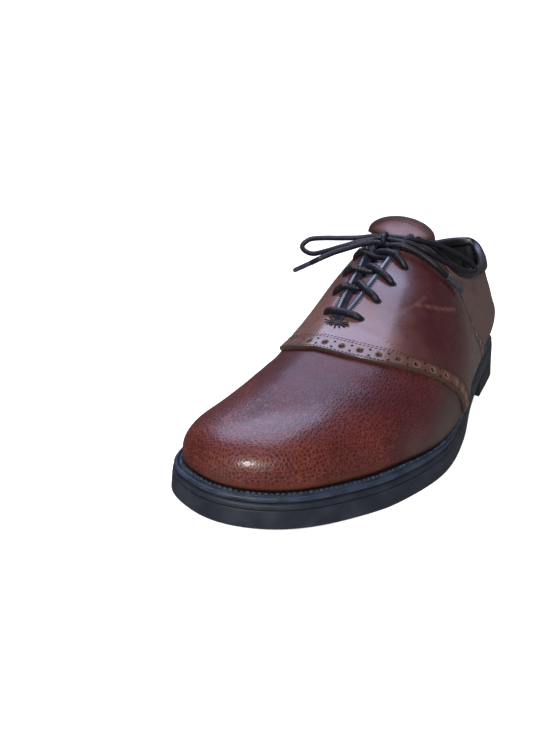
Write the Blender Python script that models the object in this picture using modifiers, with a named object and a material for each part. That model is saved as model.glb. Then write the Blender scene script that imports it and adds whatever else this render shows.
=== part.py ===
"""A left saddle oxford with brogued edges, standing empty on its sole.

Metres, +Z up. The toe points to -Y, the outer side of the foot is +X, and the origin is on
the floor under the middle of the sole. The upper, the saddle, the collar binding and the
sole's layers all come from one function of the last, so that they follow each other.
"""

import math

import bmesh
import bpy
import numpy as np

# Driving sizes
SOLE_LENGTH = 0.306
BALL_WIDTH = 0.116
INSTEP_HEIGHT = 0.112
HEEL_HEIGHT = 0.0300

# Thicknesses and clearances
LEATHER = 0.0022
SADDLE_LEATHER = 0.0015
BINDING_LEATHER = 0.0010
TONGUE_LEATHER = 0.0022
SEAM_GAP = 0.0003
OVERLAY_GAP = 0.0008

# The sole's layers, from the floor up
OUTSOLE_THICKNESS = 0.0086
MIDSOLE_THICKNESS = 0.0026
WELT_THICKNESS = 0.0026
INSOLE_THICKNESS = 0.0030
INSOLE_CLEARANCE = 0.0012
EDGE_FLARE = 0.0024
SOLE_STACK = OUTSOLE_THICKNESS + MIDSOLE_THICKNESS + WELT_THICKNESS + 2 * SEAM_GAP
HEEL_LIFT = HEEL_HEIGHT - SOLE_STACK

SEAT_WIDTH = 0.0080
EDGE_ROUND = 0.0005
HEEL_BREAST_TURN = 8.0
BREAST_HOLLOW = 0.0040

# The throat: where it starts and ends along the sole, half its width at the top, and the
# turns of both ends
THROAT_ALONG = 0.360
FACING_ALONG = 0.580
THROAT_HALF = 0.0095
THROAT_TURN = 4.952
FACING_TURN = 7.0
COLLAR_BACK_ALONG = 0.9
COLLAR_DROP_TURN = 8.2

# The saddle's front edge on the outer and inner sides and its rear edge, as the turn at equal
# steps of rise from welt to top
SADDLE_FRONT_OUTER = (6.00, 5.57, 5.19, 4.73, 4.43, 4.27, 4.17)
SADDLE_FRONT_INNER = (5.85, 5.37, 4.97, 4.57, 4.30, 4.20, 4.17)
SADDLE_REAR = (8.22, 8.01, 7.68, 7.36, 7.20, 7.28, 7.52)
SADDLE_FOOT_RISE = 0.035
SADDLE_LOWERED_FROM = 0.6
SADDLE_CURVE_DEGREE = 4
SADDLE_BINDING_GAP = 0.0024
FACING_STEP = 0.02

# The collar binding folds over the upper's top edge, deeper at the middle of the heel
BINDING_TURN = 7.14
BINDING_DEPTH = 0.0040
BINDING_GAP = 0.0010
BINDING_ROUND = 0.0004
BINDING_NORMAL_RISE = 0.985
BINDING_DOWN_RISE = 0.97
HEEL_TAB_DEPTH = 0.0050
HEEL_TAB_TURNS = 0.75

# The tongue: how it lies under the facing, where its end stands out of the throat, and how
# that end flares on each side once it is clear of the binding
TONGUE_FOOT_TURN = 4.25
TONGUE_UNDER = (0.0140, 0.0100, 0.0060, 0.0020)
TONGUE_TAPER = 0.40
TONGUE_CLEARANCE = 0.0044
TONGUE_TOP_CLEARANCE = 0.0090
TONGUE_CROWN = 0.06
TONGUE_END_OUTER = (0.0030, 0.0430, 0.1112)
TONGUE_END_INNER = (-0.0282, 0.0312, 0.1168)
TONGUE_END_RISE = 0.0115
TONGUE_FLARE_OUTER = (0.0027, 0.0000, -0.0017)
TONGUE_FLARE_INNER = (-0.0080, 0.0000, -0.0008)

# The lace: its eyelets on the saddle, and the routes of the bow in metres
LACE_RADIUS = 0.0016
LACE_LIFT = 0.0009
LACE_STEP = 0.0070
EYELET_TURNS = (5.11, 5.50, 5.87, 6.25, 6.66)
EYELET_RISE = 0.90
FACING_EDGE_RISE = 0.985
NEAR_SHARE = 0.30
FAR_SHARES = (0.80, 0.75, 0.40)
STOP_SHORT = 0.0034
KNOT_PLACE = (-0.0120, 0.0109, 0.1112)
KNOT_RADII = (0.0058, 0.0045, 0.0042)
KNOT_STRAND_IN = 0.0050
KNOT_STRAND_DROP = 0.0030
LOOP_OUTER = (
    (-0.0059, 0.0126, 0.1129),
    (-0.0005, 0.0126, 0.1128),
    (0.0030, 0.0154, 0.1122),
    (0.0066, 0.0192, 0.1111),
    (0.0101, 0.0240, 0.1099),
    (0.0130, 0.0290, 0.1084),
    (0.0161, 0.0345, 0.1060),
    (0.0189, 0.0415, 0.1032),
    (0.0222, 0.0480, 0.0998),
    (0.0259, 0.0530, 0.0961),
    (0.0285, 0.0550, 0.0925),
    (0.0288, 0.0520, 0.0911),
    (0.0274, 0.0470, 0.0915),
    (0.0254, 0.0400, 0.0935),
    (0.0232, 0.0330, 0.0960),
    (0.0186, 0.0240, 0.1005),
    (0.0133, 0.0170, 0.1052),
    (0.0082, 0.0140, 0.1081),
    (0.0039, 0.0114, 0.1102),
    (-0.0006, 0.0088, 0.1111),
    (-0.0058, 0.0088, 0.1116),
)
LOOP_INNER = (
    (-0.0181, 0.0130, 0.1126),
    (-0.0235, 0.0122, 0.1125),
    (-0.0300, 0.0101, 0.1115),
    (-0.0410, 0.0055, 0.1109),
    (-0.0510, 0.0016, 0.1106),
    (-0.0594, -0.0016, 0.1095),
    (-0.0628, -0.0050, 0.1059),
    (-0.0605, -0.0061, 0.1029),
    (-0.0540, -0.0061, 0.1013),
    (-0.0465, -0.0045, 0.1031),
    (-0.0365, -0.0011, 0.1065),
    (-0.0270, 0.0036, 0.1096),
    (-0.0183, 0.0088, 0.1116),
)
END_OUTER = (
    (-0.0064, 0.0056, 0.1090),
    (0.0006, 0.0056, 0.1093),
    (0.0070, 0.0080, 0.1072),
    (0.0139, 0.0108, 0.1032),
    (0.0208, 0.0127, 0.0981),
    (0.0255, 0.0166, 0.0929),
)
AGLET_OUTER_TIP = (0.0330, 0.0256, 0.0829)
END_INNER = (
    (-0.0174, 0.0052, 0.1099),
    (-0.0224, -0.0001, 0.1089),
    (-0.0280, -0.0067, 0.1067),
    (-0.0336, -0.0132, 0.1043),
    (-0.0394, -0.0196, 0.1009),
    (-0.0446, -0.0206, 0.0982),
)
AGLET_INNER_TIP = (-0.0582, -0.0202, 0.0919)
AGLET_RADIUS = 0.0018

# Rows run from the toe tip to the heel tip in equal steps of a half turn, close together at
# both ends. inner and outer are shares of BALL_WIDTH, ground is a share of HEEL_LIFT, and the
# feathers are how far the upper stands in from the edge on each side, in metres.
ROWS = 12
SOLE_ROWS = (
    # inner, outer, ground, feather_in, feather_out
    (0.082, -0.082, 0.397, 0.0078, 0.0078),
    (0.285, 0.091, 0.372, 0.0078, 0.0078),
    (0.405, 0.241, 0.256, 0.0076, 0.0076),
    (0.476, 0.353, 0.090, 0.0072, 0.0078),
    (0.500, 0.452, -0.019, 0.0068, 0.0077),
    (0.472, 0.500, -0.019, 0.0066, 0.0053),
    (0.400, 0.456, 0.064, 0.0064, 0.0034),
    (0.358, 0.370, 0.436, 0.0062, 0.0040),
    (0.350, 0.306, 0.769, 0.0058, 0.0040),
    (0.352, 0.260, 0.962, 0.0054, 0.0047),
    (0.315, 0.212, 1.000, 0.0052, 0.0050),
    (0.204, 0.102, 1.000, 0.0052, 0.0052),
    (0.052, -0.052, 1.000, 0.0052, 0.0052),
)
SOLE_COLUMNS = ("inner", "outer", "ground", "feather_in", "feather_out")

# Where each section of the upper ends: on the ridge as far as the facing, then on the collar.
# along is a share of SOLE_LENGTH, spreads are shares of BALL_WIDTH, heights of INSTEP_HEIGHT.
TOP_ROWS = (
    # along, middle, spread_in, spread_out, height_in, height_out
    (0.130, -0.084, 0.000, 0.000, 0.395, 0.395),
    (0.137, -0.084, 0.000, 0.000, 0.401, 0.401),
    (0.158, -0.085, 0.000, 0.000, 0.418, 0.418),
    (0.200, -0.087, 0.000, 0.000, 0.452, 0.452),
    (0.275, -0.090, 0.000, 0.000, 0.524, 0.524),
    (0.365, -0.095, 0.000, 0.000, 0.636, 0.636),
    (0.470, -0.100, 0.000, 0.000, 0.830, 0.830),
    (0.580, -0.105, 0.160, 0.085, 0.990, 1.000),
    (0.685, -0.095, 0.240, 0.255, 0.866, 0.808),
    (0.800, -0.084, 0.225, 0.225, 0.848, 0.768),
    (0.895, -0.076, 0.185, 0.180, 0.875, 0.772),
    (0.960, -0.070, 0.105, 0.095, 0.893, 0.821),
    (0.985, -0.066, 0.000, 0.000, 0.888, 0.888),
)
TOP_COLUMNS = ("along", "middle", "spread_in", "spread_out", "height_in", "height_out")

# How each section bows between its ends on either side: lean is how far the wall leans out,
# wall and crown are the pull of its lower and upper ends, turn is the angle at the top, 90
# being level.
OUTER_SECTION_ROWS = (
    # lean, wall, crown, turn
    (0.220, 0.460, 0.380, 90.0),
    (0.220, 0.460, 0.380, 90.0),
    (0.220, 0.440, 0.360, 90.0),
    (0.205, 0.430, 0.360, 90.0),
    (0.175, 0.430, 0.360, 90.0),
    (0.125, 0.430, 0.400, 88.0),
    (0.060, 0.415, 0.420, 78.0),
    (-0.010, 0.380, 0.360, 55.0),
    (0.025, 0.395, 0.280, -2.0),
    (0.185, 0.425, 0.335, 21.0),
    (0.325, 0.450, 0.360, 12.0),
    (0.320, 0.385, 0.360, 12.0),
    (0.280, 0.350, 0.360, 12.0),
)
INNER_SECTION_ROWS = (
    # lean, wall, crown, turn
    (0.220, 0.460, 0.380, 90.0),
    (0.220, 0.460, 0.380, 90.0),
    (0.220, 0.420, 0.390, 90.0),
    (0.150, 0.380, 0.330, 90.0),
    (0.200, 0.410, 0.310, 90.0),
    (0.300, 0.510, 0.310, 88.0),
    (0.260, 0.480, 0.340, 84.0),
    (0.200, 0.450, 0.400, 62.0),
    (0.140, 0.400, 0.300, 14.0),
    (0.240, 0.360, 0.340, 10.0),
    (0.280, 0.350, 0.360, 12.0),
    (0.280, 0.350, 0.360, 12.0),
    (0.280, 0.350, 0.360, 12.0),
)
SECTION_COLUMNS = ("lean", "wall", "crown", "turn")

# How finely the solids are divided
WELD = 0.00001
SHARP_ANGLE = math.radians(40.0)
TURN_STEP = 0.02
NORMAL_STEP = 0.01
RISE_STEP = 0.02
SOLE_RUNGS = 31
HEEL_RUNGS = 13
HEEL_ACROSS = 5
HOLLOW_RUNGS = 3
VAMP_SECTIONS = 12
FACING_SECTIONS = 8
COLLAR_DROP_SECTIONS = 8
COLLAR_SECTIONS = 12
UPPER_ROWS = 15
SADDLE_JOINED = 4
SADDLE_FACING_SECTIONS = 11
SADDLE_REAR_SECTIONS = 5
SADDLE_GRID_ROWS = 13
TONGUE_FOOT_SECTIONS = 4
TONGUE_END_ROWS = 4
LACE_SIDES = 2
KNOT_SEGMENTS = 12
KNOT_RINGS = 8

for old in list(bpy.data.objects):
    bpy.data.objects.remove(old, do_unlink=True)
SHOE = bpy.data.collections.new("saddle_oxford")
CUTTERS = bpy.data.collections.new("cutters")
bpy.context.scene.collection.children.link(SHOE)
bpy.context.scene.collection.children.link(CUTTERS)


def table(columns, rows):
    """The rows as one array for each named column."""
    return dict(zip(columns, np.array(rows, float).T))


SOLE = table(SOLE_COLUMNS, SOLE_ROWS)
TOP = table(TOP_COLUMNS, TOP_ROWS)
OUTER_SECTION = table(SECTION_COLUMNS, OUTER_SECTION_ROWS)
INNER_SECTION = table(SECTION_COLUMNS, INNER_SECTION_ROWS)


def around(outer, inner=None):
    """A column of both sides as one closed ring: toe tip, outer side, heel tip, inner side."""
    inner = outer if inner is None else inner
    return np.concatenate([outer, inner[-2:0:-1]])


def between(a, b, c, d, f):
    """The point at share f of the way from b to c, on the smooth curve through all four."""
    return b + 0.5 * f * (c - a + f * (2 * a - 5 * b + 4 * c - d + f * (3 * (b - c) + d - a)))


def smooth(ring, turn):
    """The ring's value at each turn, counted in rows from the toe tip, on a smooth curve."""
    turn = np.asarray(turn, float)
    first = np.floor(turn).astype(int)
    f = turn - first
    a, b, c, d = (ring[(first + k) % len(ring)] for k in (-1, 0, 1, 2))
    return between(a, b, c, d, f)


def sole_y(turn):
    return -0.5 * SOLE_LENGTH * np.cos(np.asarray(turn, float) * math.pi / ROWS)


def sole_edge(turn):
    """The sole's outline seen from above, as x and y."""
    ring = around(SOLE["outer"], -SOLE["inner"]) * BALL_WIDTH
    return np.stack([smooth(ring, turn), sole_y(turn)], axis=-1)


def outward(turn):
    """The level direction square to the sole's outline, pointing out."""
    turn = np.asarray(turn, float)
    along = sole_edge(turn + TURN_STEP) - sole_edge(turn - TURN_STEP)
    out = np.stack([along[..., 1], -along[..., 0]], axis=-1)
    return out / np.linalg.norm(out, axis=-1, keepdims=True)


def ground_z(y):
    """The height of the outsole's underside: level at the ball and under the heel."""
    share = np.clip(-2.0 * np.asarray(y, float) / SOLE_LENGTH, -1.0, 1.0)
    turn = np.arccos(share) * ROWS / math.pi
    return HEEL_LIFT * np.maximum(0.0, smooth(around(SOLE["ground"]), turn))


def seat_z(y):
    """The height of the welt's top, which the upper stands on."""
    return ground_z(y) + SOLE_STACK


def upper_inset(turn):
    """How far the upper stands in from the sole's outline."""
    return smooth(around(SOLE["feather_out"], SOLE["feather_in"]), turn)


def feather(turn):
    """The line where the upper meets the welt."""
    edge = sole_edge(turn) - outward(turn) * upper_inset(turn)[..., None]
    return np.concatenate([edge, (seat_z(edge[..., 1]) + SEAM_GAP)[..., None]], axis=-1)


def top_line(turn):
    """The upper end of each section: the ridge, the facing's edge or the collar."""
    turn = np.asarray(turn, float)
    along = smooth(around(TOP["along"]), turn)
    spread = smooth(around(TOP["spread_out"], -TOP["spread_in"]), turn) * BALL_WIDTH
    share = np.clip((along - THROAT_ALONG) / (FACING_ALONG - THROAT_ALONG), 0, 1)
    share = np.where(along < COLLAR_BACK_ALONG, share, 0.0)
    half = THROAT_HALF * np.sqrt(share)
    outer_side = turn % (2 * ROWS) < ROWS
    spread = np.where(outer_side, np.maximum(spread, half), np.minimum(spread, -half))
    x = smooth(around(TOP["middle"]), turn) * BALL_WIDTH + spread
    height = smooth(around(TOP["height_out"], TOP["height_in"]), turn) * INSTEP_HEIGHT
    return np.stack([x, (along - 0.5) * SOLE_LENGTH, height], axis=-1)


def last_point(turn, rise):
    """A point of the upper's outer face: rise is 0 at the welt and 1 at the top line."""
    turn, rise = np.broadcast_arrays(np.asarray(turn, float), np.asarray(rise, float))
    foot, top = feather(turn), top_line(turn)
    lean, wall, crown, turn_deg = (
        smooth(around(OUTER_SECTION[c], INNER_SECTION[c]), turn) for c in SECTION_COLUMNS
    )
    reach = np.linalg.norm(top - foot, axis=-1)
    up = np.zeros_like(foot)
    up[..., 2] = 1.0
    out = np.zeros_like(foot)
    out[..., :2] = outward(turn)
    inward = top - foot
    inward[..., 2] = 0.0
    inward /= np.linalg.norm(inward, axis=-1, keepdims=True)
    slope = ridge_slope(turn) * inward[..., 1]
    angle = np.radians(turn_deg)
    arrive = inward * np.sin(angle)[..., None]
    arrive[..., 2] = np.cos(angle) + slope * np.sin(angle)
    low = foot + (up + out * lean[..., None]) * (wall * reach)[..., None]
    high = top - arrive * (crown * reach)[..., None]
    r = rise[..., None]
    q = 1.0 - r
    return q**3 * foot + 3 * q * q * r * low + 3 * q * r * r * high + r**3 * top


def ridge_slope(turn):
    """How steeply the ridge climbs towards the instep, fading out behind the facing."""
    along, height = TOP["along"] * SOLE_LENGTH, TOP["height_out"] * INSTEP_HEIGHT
    slope = np.gradient(height, along)
    slope[int(FACING_TURN) + 1:] = 0.0
    return smooth(around(slope), turn)


def last_normal(turn, rise):
    """The outward direction of the upper's face."""
    turn, rise = np.broadcast_arrays(np.asarray(turn, float), np.asarray(rise, float))
    below, above = np.maximum(rise - NORMAL_STEP, 0.0), np.minimum(rise + NORMAL_STEP, 1.0)
    across = last_point(turn + NORMAL_STEP, rise) - last_point(turn - NORMAL_STEP, rise)
    upward = last_point(turn, above) - last_point(turn, below)
    out = np.cross(across, upward)
    return out / np.linalg.norm(out, axis=-1, keepdims=True)


def off_last(turn, rise, lift):
    """A point at the given distance outside the upper's face."""
    return last_point(turn, rise) + last_normal(turn, rise) * np.asarray(lift, float)[..., None]


def rise_below_top(turn, distance):
    """The rise that lies the given distance down the upper's face from its top line."""
    run = np.linalg.norm(top_line(turn) - last_point(turn, 1.0 - RISE_STEP), axis=-1)
    return 1.0 - RISE_STEP * distance / run


def material(name, colour, roughness):
    """A leather, rubber or cord finish in one colour."""
    finish = bpy.data.materials.new(name)
    finish.use_nodes = True
    shader = finish.node_tree.nodes["Principled BSDF"]
    shader.inputs["Base Color"].default_value = (*colour, 1.0)
    shader.inputs["Roughness"].default_value = roughness
    shader.inputs["Metallic"].default_value = 0.0
    finish.diffuse_color = (*colour, 1.0)
    return finish


def add_object(name, data, finish):
    """Put a mesh or curve into the shoe's collection under its own name."""
    piece = bpy.data.objects.new(name, data)
    data.materials.append(finish)
    SHOE.objects.link(piece)
    return piece


def mesh_from(name, verts, faces):
    """A mesh with its double points merged and its faces turned outward."""
    mesh = bpy.data.meshes.new(name)
    mesh.from_pydata([tuple(v) for v in verts], [], faces)
    work = bmesh.new()
    work.from_mesh(mesh)
    bmesh.ops.remove_doubles(work, verts=work.verts, dist=WELD)
    bmesh.ops.dissolve_degenerate(work, edges=work.edges, dist=WELD)
    bmesh.ops.recalc_face_normals(work, faces=work.faces)
    work.to_mesh(mesh)
    work.free()
    mesh.shade_smooth()
    mesh.set_sharp_from_angle(angle=SHARP_ANGLE)
    return mesh


def grid_faces(columns, rows, start=0, closed=False):
    """Quads between neighbouring columns of points, each column running up its rows."""
    faces = []
    for i in range(columns if closed else columns - 1):
        a, b = start + i * rows, start + (i + 1) % columns * rows
        for j in range(rows - 1):
            faces.append((a + j, b + j, b + j + 1, a + j + 1))
    return faces


def add_wall(piece, thickness, side):
    """Give an open surface its thickness: side is -1 for inward and 1 for outward."""
    wall = piece.modifiers.new("wall", "SOLIDIFY")
    wall.thickness = thickness
    wall.offset = side
    wall.use_even_offset = True
    wall.use_quality_normals = True


def sole_layer(name, turns, levels, finish, across=2, hollow=0.0):
    """A layer of the sole: rungs from its outer to its inner edge, at each level from below.

    A level gives the inset from the sole's outline at a turn and the height at a y.
    """
    share = np.linspace(0.0, 1.0, across)[:, None]
    count = len(levels)
    verts = []
    for i, turn in enumerate(turns):
        back = hollow * (1 - (2 * share - 1) ** 2) * max(0.0, 1.0 - i / HOLLOW_RUNGS)
        for inset, height in levels:
            ends = []
            for side_turn in (turn, 2 * ROWS - turn):
                edge = sole_edge(side_turn) - outward(side_turn) * inset(side_turn)
                ends.append(np.array([edge[0], edge[1], height(edge[1])]))
            rung = ends[0] + (ends[1] - ends[0]) * share
            rung[:, 1:2] += back
            verts.extend(rung)
    per_rung = count * across
    ring = [k * across for k in range(count)]
    ring += [(count - 1) * across + k for k in range(1, across)]
    ring += [k * across + across - 1 for k in range(count - 2, -1, -1)]
    ring += [k for k in range(across - 2, 0, -1)]
    faces = []
    for i in range(len(turns) - 1):
        a, b = i * per_rung, (i + 1) * per_rung
        for j, here in enumerate(ring):
            there = ring[(j + 1) % len(ring)]
            faces.append((a + here, b + here, b + there, a + there))
    faces.append(ring)
    faces.append([(len(turns) - 1) * per_rung + k for k in reversed(ring)])
    add_object(name, mesh_from(name, verts, faces), finish)


def make_sole():
    """Outsole, midsole, welt, heel and insole, all along the same outline."""
    turns = np.linspace(0.0, ROWS, SOLE_RUNGS)
    lift = OUTSOLE_THICKNESS + SEAM_GAP
    welt_lift = lift + MIDSOLE_THICKNESS + SEAM_GAP

    def level(above_ground, rounding=0.0):
        def inset(turn):
            y = sole_y(turn)
            return rounding + EDGE_FLARE * (ground_z(y) + above_ground) / seat_z(y)

        def height(y):
            return ground_z(y) + above_ground

        return inset, height

    sole_layer("outsole", turns, (
        level(0.0, 2 * EDGE_ROUND),
        level(2 * EDGE_ROUND),
        level(OUTSOLE_THICKNESS - EDGE_ROUND),
        level(OUTSOLE_THICKNESS, EDGE_ROUND),
    ), material("outsole_rubber", (0.016, 0.017, 0.022), 0.55))
    sole_layer("midsole", turns, (
        level(lift, EDGE_ROUND),
        level(lift + MIDSOLE_THICKNESS, EDGE_ROUND),
    ), material("midsole_rubber", (0.045, 0.030, 0.026), 0.6))
    make_welt(turns, welt_lift)
    heel_turns = np.linspace(HEEL_BREAST_TURN, ROWS, HEEL_RUNGS)
    sole_layer("heel", heel_turns, (
        ((lambda turn: 2 * EDGE_ROUND), (lambda y: 0.0)),
        ((lambda turn: 0.0), (lambda y: 2 * EDGE_ROUND)),
        level(-SEAM_GAP),
    ), material("heel_rubber", (0.014, 0.015, 0.020), 0.5), HEEL_ACROSS, BREAST_HOLLOW)

    def insole_inset(turn):
        return upper_inset(turn) + LEATHER + INSOLE_CLEARANCE

    sole_layer("insole", turns, (
        (insole_inset, lambda y: seat_z(y) + SEAM_GAP),
        (insole_inset, lambda y: seat_z(y) + SEAM_GAP + INSOLE_THICKNESS),
    ), material("insole_leather", (0.035, 0.026, 0.022), 0.6))


def make_welt(turns, welt_lift):
    """A strip all round the sole's edge, running in under the upper."""
    around_turns = np.concatenate([turns, 2 * ROWS - turns[-2:0:-1]])
    verts = []
    for turn in around_turns:
        inner = upper_inset(turn) + SEAT_WIDTH
        for inset, above in (
            (EDGE_FLARE + EDGE_ROUND, 0.0),
            (EDGE_FLARE, EDGE_ROUND),
            (EDGE_FLARE, WELT_THICKNESS - EDGE_ROUND),
            (EDGE_FLARE + EDGE_ROUND, WELT_THICKNESS),
            (inner, WELT_THICKNESS),
            (inner, 0.0),
            (EDGE_FLARE + EDGE_ROUND, 0.0),
        ):
            edge = sole_edge(turn) - outward(turn) * inset
            verts.append((edge[0], edge[1], ground_z(edge[1]) + welt_lift + above))
    rows = len(verts) // len(around_turns)
    faces = grid_faces(len(around_turns), rows, closed=True)
    finish = material("welt_rubber", (0.02, 0.02, 0.026), 0.5)
    add_object("welt", mesh_from("welt", verts, faces), finish)


def collar_turns():
    """The sections from the facing to the heel tip, close together where the collar drops."""
    return np.concatenate([
        np.linspace(FACING_TURN, COLLAR_DROP_TURN, COLLAR_DROP_SECTIONS),
        np.linspace(COLLAR_DROP_TURN, ROWS, COLLAR_SECTIONS)[1:],
    ])


def make_upper():
    """The vamp and quarters as one hollow wall, open at collar, throat and underneath."""
    side = np.concatenate([
        np.linspace(0.0, THROAT_TURN, VAMP_SECTIONS),
        np.linspace(THROAT_TURN, FACING_TURN, FACING_SECTIONS)[1:],
        collar_turns()[1:],
    ])
    turns = np.concatenate([side, 2 * ROWS - side[-2:0:-1]])
    rises = np.linspace(0.0, 1.0, UPPER_ROWS)
    points = last_point(turns[:, None], rises[None, :]).reshape(-1, 3)
    faces = grid_faces(len(turns), UPPER_ROWS, closed=True)
    finish = material("grain_leather", (0.150, 0.034, 0.026), 0.35)
    piece = add_object("upper", mesh_from("upper", points, faces), finish)
    add_wall(piece, LEATHER, -1)


def guide(values, share):
    """A saddle edge's turn at a share of the way up, on a smooth curve through its steps."""
    steps = np.linspace(0.0, 1.0, len(values))
    return np.polyval(np.polyfit(steps, values, SADDLE_CURVE_DEGREE), share)


def saddle_grid(side):
    """The saddle's points on one side: 1 is outer and -1 is inner."""
    front_turns = SADDLE_FRONT_OUTER if side > 0 else SADDLE_FRONT_INNER
    front, rear = front_turns[-1], SADDLE_REAR[-1]
    throat = (THROAT_TURN - front) / (rear - front)
    corner = (FACING_TURN - front) / (rear - front)
    shares = np.concatenate([
        np.linspace(0.0, throat, SADDLE_JOINED),
        np.linspace(throat, corner, SADDLE_FACING_SECTIONS)[1:],
        np.linspace(corner + FACING_STEP, 1.0, SADDLE_REAR_SECTIONS),
    ])
    heights = np.linspace(0.0, 1.0, SADDLE_GRID_ROWS)
    front_edge, rear_edge = guide(front_turns, heights), guide(SADDLE_REAR, heights)
    turn = front_edge + np.outer(shares, rear_edge - front_edge)
    covered = rise_below_top(turn[:, -1], BINDING_DEPTH + SADDLE_LEATHER + SADDLE_BINDING_GAP)
    top = np.where(shares > corner, covered, 1.0)
    lowered = np.clip((heights - SADDLE_LOWERED_FROM) / (1.0 - SADDLE_LOWERED_FROM), 0.0, 1.0)
    level = SADDLE_FOOT_RISE + (1.0 - SADDLE_FOOT_RISE) * heights
    rise = level - np.outer(1.0 - top, lowered)
    return off_last(side * turn, rise, np.full_like(rise, OVERLAY_GAP))


def make_saddle():
    """The saddle over the instep: one piece of leather, cut by the throat."""
    outer, inner = saddle_grid(1), saddle_grid(-1)
    middle = 0.5 * (outer[:SADDLE_JOINED, -1] + inner[:SADDLE_JOINED, -1])
    outer[:SADDLE_JOINED, -1] = middle
    inner[:SADDLE_JOINED, -1] = middle
    columns, rows = outer.shape[:2]
    verts = np.concatenate([outer.reshape(-1, 3), inner.reshape(-1, 3)])
    faces = grid_faces(columns, rows)
    faces += [tuple(reversed(face)) for face in grid_faces(columns, rows, start=columns * rows)]
    finish = material("saddle_leather", (0.130, 0.040, 0.028), 0.3)
    piece = add_object("saddle", mesh_from("saddle", verts, faces), finish)
    add_wall(piece, SADDLE_LEATHER, 1)


def make_binding():
    """The folded strip along the collar, from one facing round the heel to the other."""
    side = collar_turns()
    side = np.concatenate([[BINDING_TURN], side[side > BINDING_TURN]])
    turns = np.concatenate([side, 2 * ROWS - side[-2::-1]])
    tops = top_line(turns)
    normals = last_normal(turns, BINDING_NORMAL_RISE)
    downs = last_point(turns, BINDING_DOWN_RISE) - tops
    downs /= np.linalg.norm(downs, axis=-1, keepdims=True)
    tab = np.clip(1.0 - np.abs(turns - ROWS) / HEEL_TAB_TURNS, 0.0, 1.0)
    inside = -LEATHER - BINDING_GAP
    verts = []
    for top, normal, down, share in zip(tops, normals, downs, tab):
        outer_depth = BINDING_DEPTH + HEEL_TAB_DEPTH * min(1.0, 2 * share)
        for n, d in (
            (BINDING_GAP, outer_depth),
            (BINDING_GAP + BINDING_LEATHER, outer_depth),
            (BINDING_GAP + BINDING_LEATHER, -BINDING_GAP - BINDING_ROUND),
            (BINDING_GAP + BINDING_ROUND, -BINDING_GAP - BINDING_LEATHER),
            (inside - BINDING_ROUND, -BINDING_GAP - BINDING_LEATHER),
            (inside - BINDING_LEATHER, -BINDING_GAP - BINDING_ROUND),
            (inside - BINDING_LEATHER, BINDING_DEPTH),
            (inside, BINDING_DEPTH),
            (inside, -BINDING_GAP),
            (BINDING_GAP, -BINDING_GAP),
            (BINDING_GAP, outer_depth),
        ):
            verts.append(top + normal * n + down * d)
    rows = len(verts) // len(turns)
    faces = grid_faces(len(turns), rows)
    faces.append(list(range(rows - 1)))
    faces.append([(len(turns) - 1) * rows + k for k in reversed(range(rows - 1))])
    add_object("collar_binding", mesh_from("collar_binding", verts, faces),
               material("binding_leather", (0.018, 0.018, 0.022), 0.4))


def make_tongue():
    """A strip under the throat, curved with the instep, with its end standing clear above."""
    turns = np.concatenate([
        np.linspace(TONGUE_FOOT_TURN, THROAT_TURN, TONGUE_FOOT_SECTIONS),
        np.linspace(THROAT_TURN, FACING_TURN, FACING_SECTIONS)[1:],
    ])
    rows = []
    for turn in turns:
        upward = (turn - TONGUE_FOOT_TURN) / (FACING_TURN - TONGUE_FOOT_TURN)
        width = 1.0 + (TONGUE_TAPER - 1.0) * upward
        clearance = TONGUE_CLEARANCE + (TONGUE_TOP_CLEARANCE - TONGUE_CLEARANCE) * upward**4
        sides = []
        for side_turn in (turn, 2 * ROWS - turn):
            rises = [rise_below_top(side_turn, width * under) for under in TONGUE_UNDER]
            sides.append([off_last(side_turn, rise, -clearance) for rise in rises])
        outer, inner = sides
        crown = 0.5 * (outer[-1] + inner[-1])
        crown[2] += TONGUE_CROWN * np.linalg.norm(outer[-1] - inner[-1])
        rows.append(outer + [crown] + inner[::-1])
    last_row = np.array(rows[-1])
    share = np.linspace(0.0, 1.0, len(last_row))[:, None]
    end_row = np.array(TONGUE_END_OUTER) * (1.0 - share) + np.array(TONGUE_END_INNER) * share
    end_row[:, 2:] += TONGUE_END_RISE * np.sqrt(1.0 - (2.0 * share - 1.0) ** 2)
    flare = np.array(TONGUE_FLARE_OUTER) * (1.0 - share) + np.array(TONGUE_FLARE_INNER) * share
    for part in np.linspace(0.0, 1.0, TONGUE_END_ROWS + 1)[1:]:
        rows.append(list(last_row + (end_row - last_row) * part + flare * part**3))
    verts = np.array(rows).reshape(-1, 3)
    faces = grid_faces(len(rows), len(last_row))
    finish = material("tongue_leather", (0.140, 0.038, 0.028), 0.35)
    piece = add_object("tongue", mesh_from("tongue", verts, faces), finish)
    add_wall(piece, TONGUE_LEATHER, -1)


def smooth_route(route, step):
    """Points about a step apart on a smooth curve through the route."""
    route = np.array(route)
    ends = 2 * route[0] - route[1], 2 * route[-1] - route[-2]
    knots = np.concatenate([[ends[0]], route, [ends[1]]])
    points = []
    for i in range(1, len(knots) - 2):
        a, b, c, d = knots[i - 1:i + 3]
        count = max(1, round(np.linalg.norm(c - b) / step))
        for f in np.arange(count) / count:
            points.append(between(a, b, c, d, f))
    return np.array(points + [route[-1]])


def tube(name, route, radius, finish):
    """A round cord along a route, with flat ends."""
    curve = bpy.data.curves.new(name, "CURVE")
    curve.dimensions = "3D"
    curve.bevel_depth = radius
    curve.bevel_resolution = LACE_SIDES
    curve.use_fill_caps = True
    points = smooth_route(route, LACE_STEP)
    spline = curve.splines.new("POLY")
    spline.points.add(len(points) - 1)
    for point, place in zip(spline.points, points):
        point.co = (*place, 1.0)
    return add_object(name, curve, finish)


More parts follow.
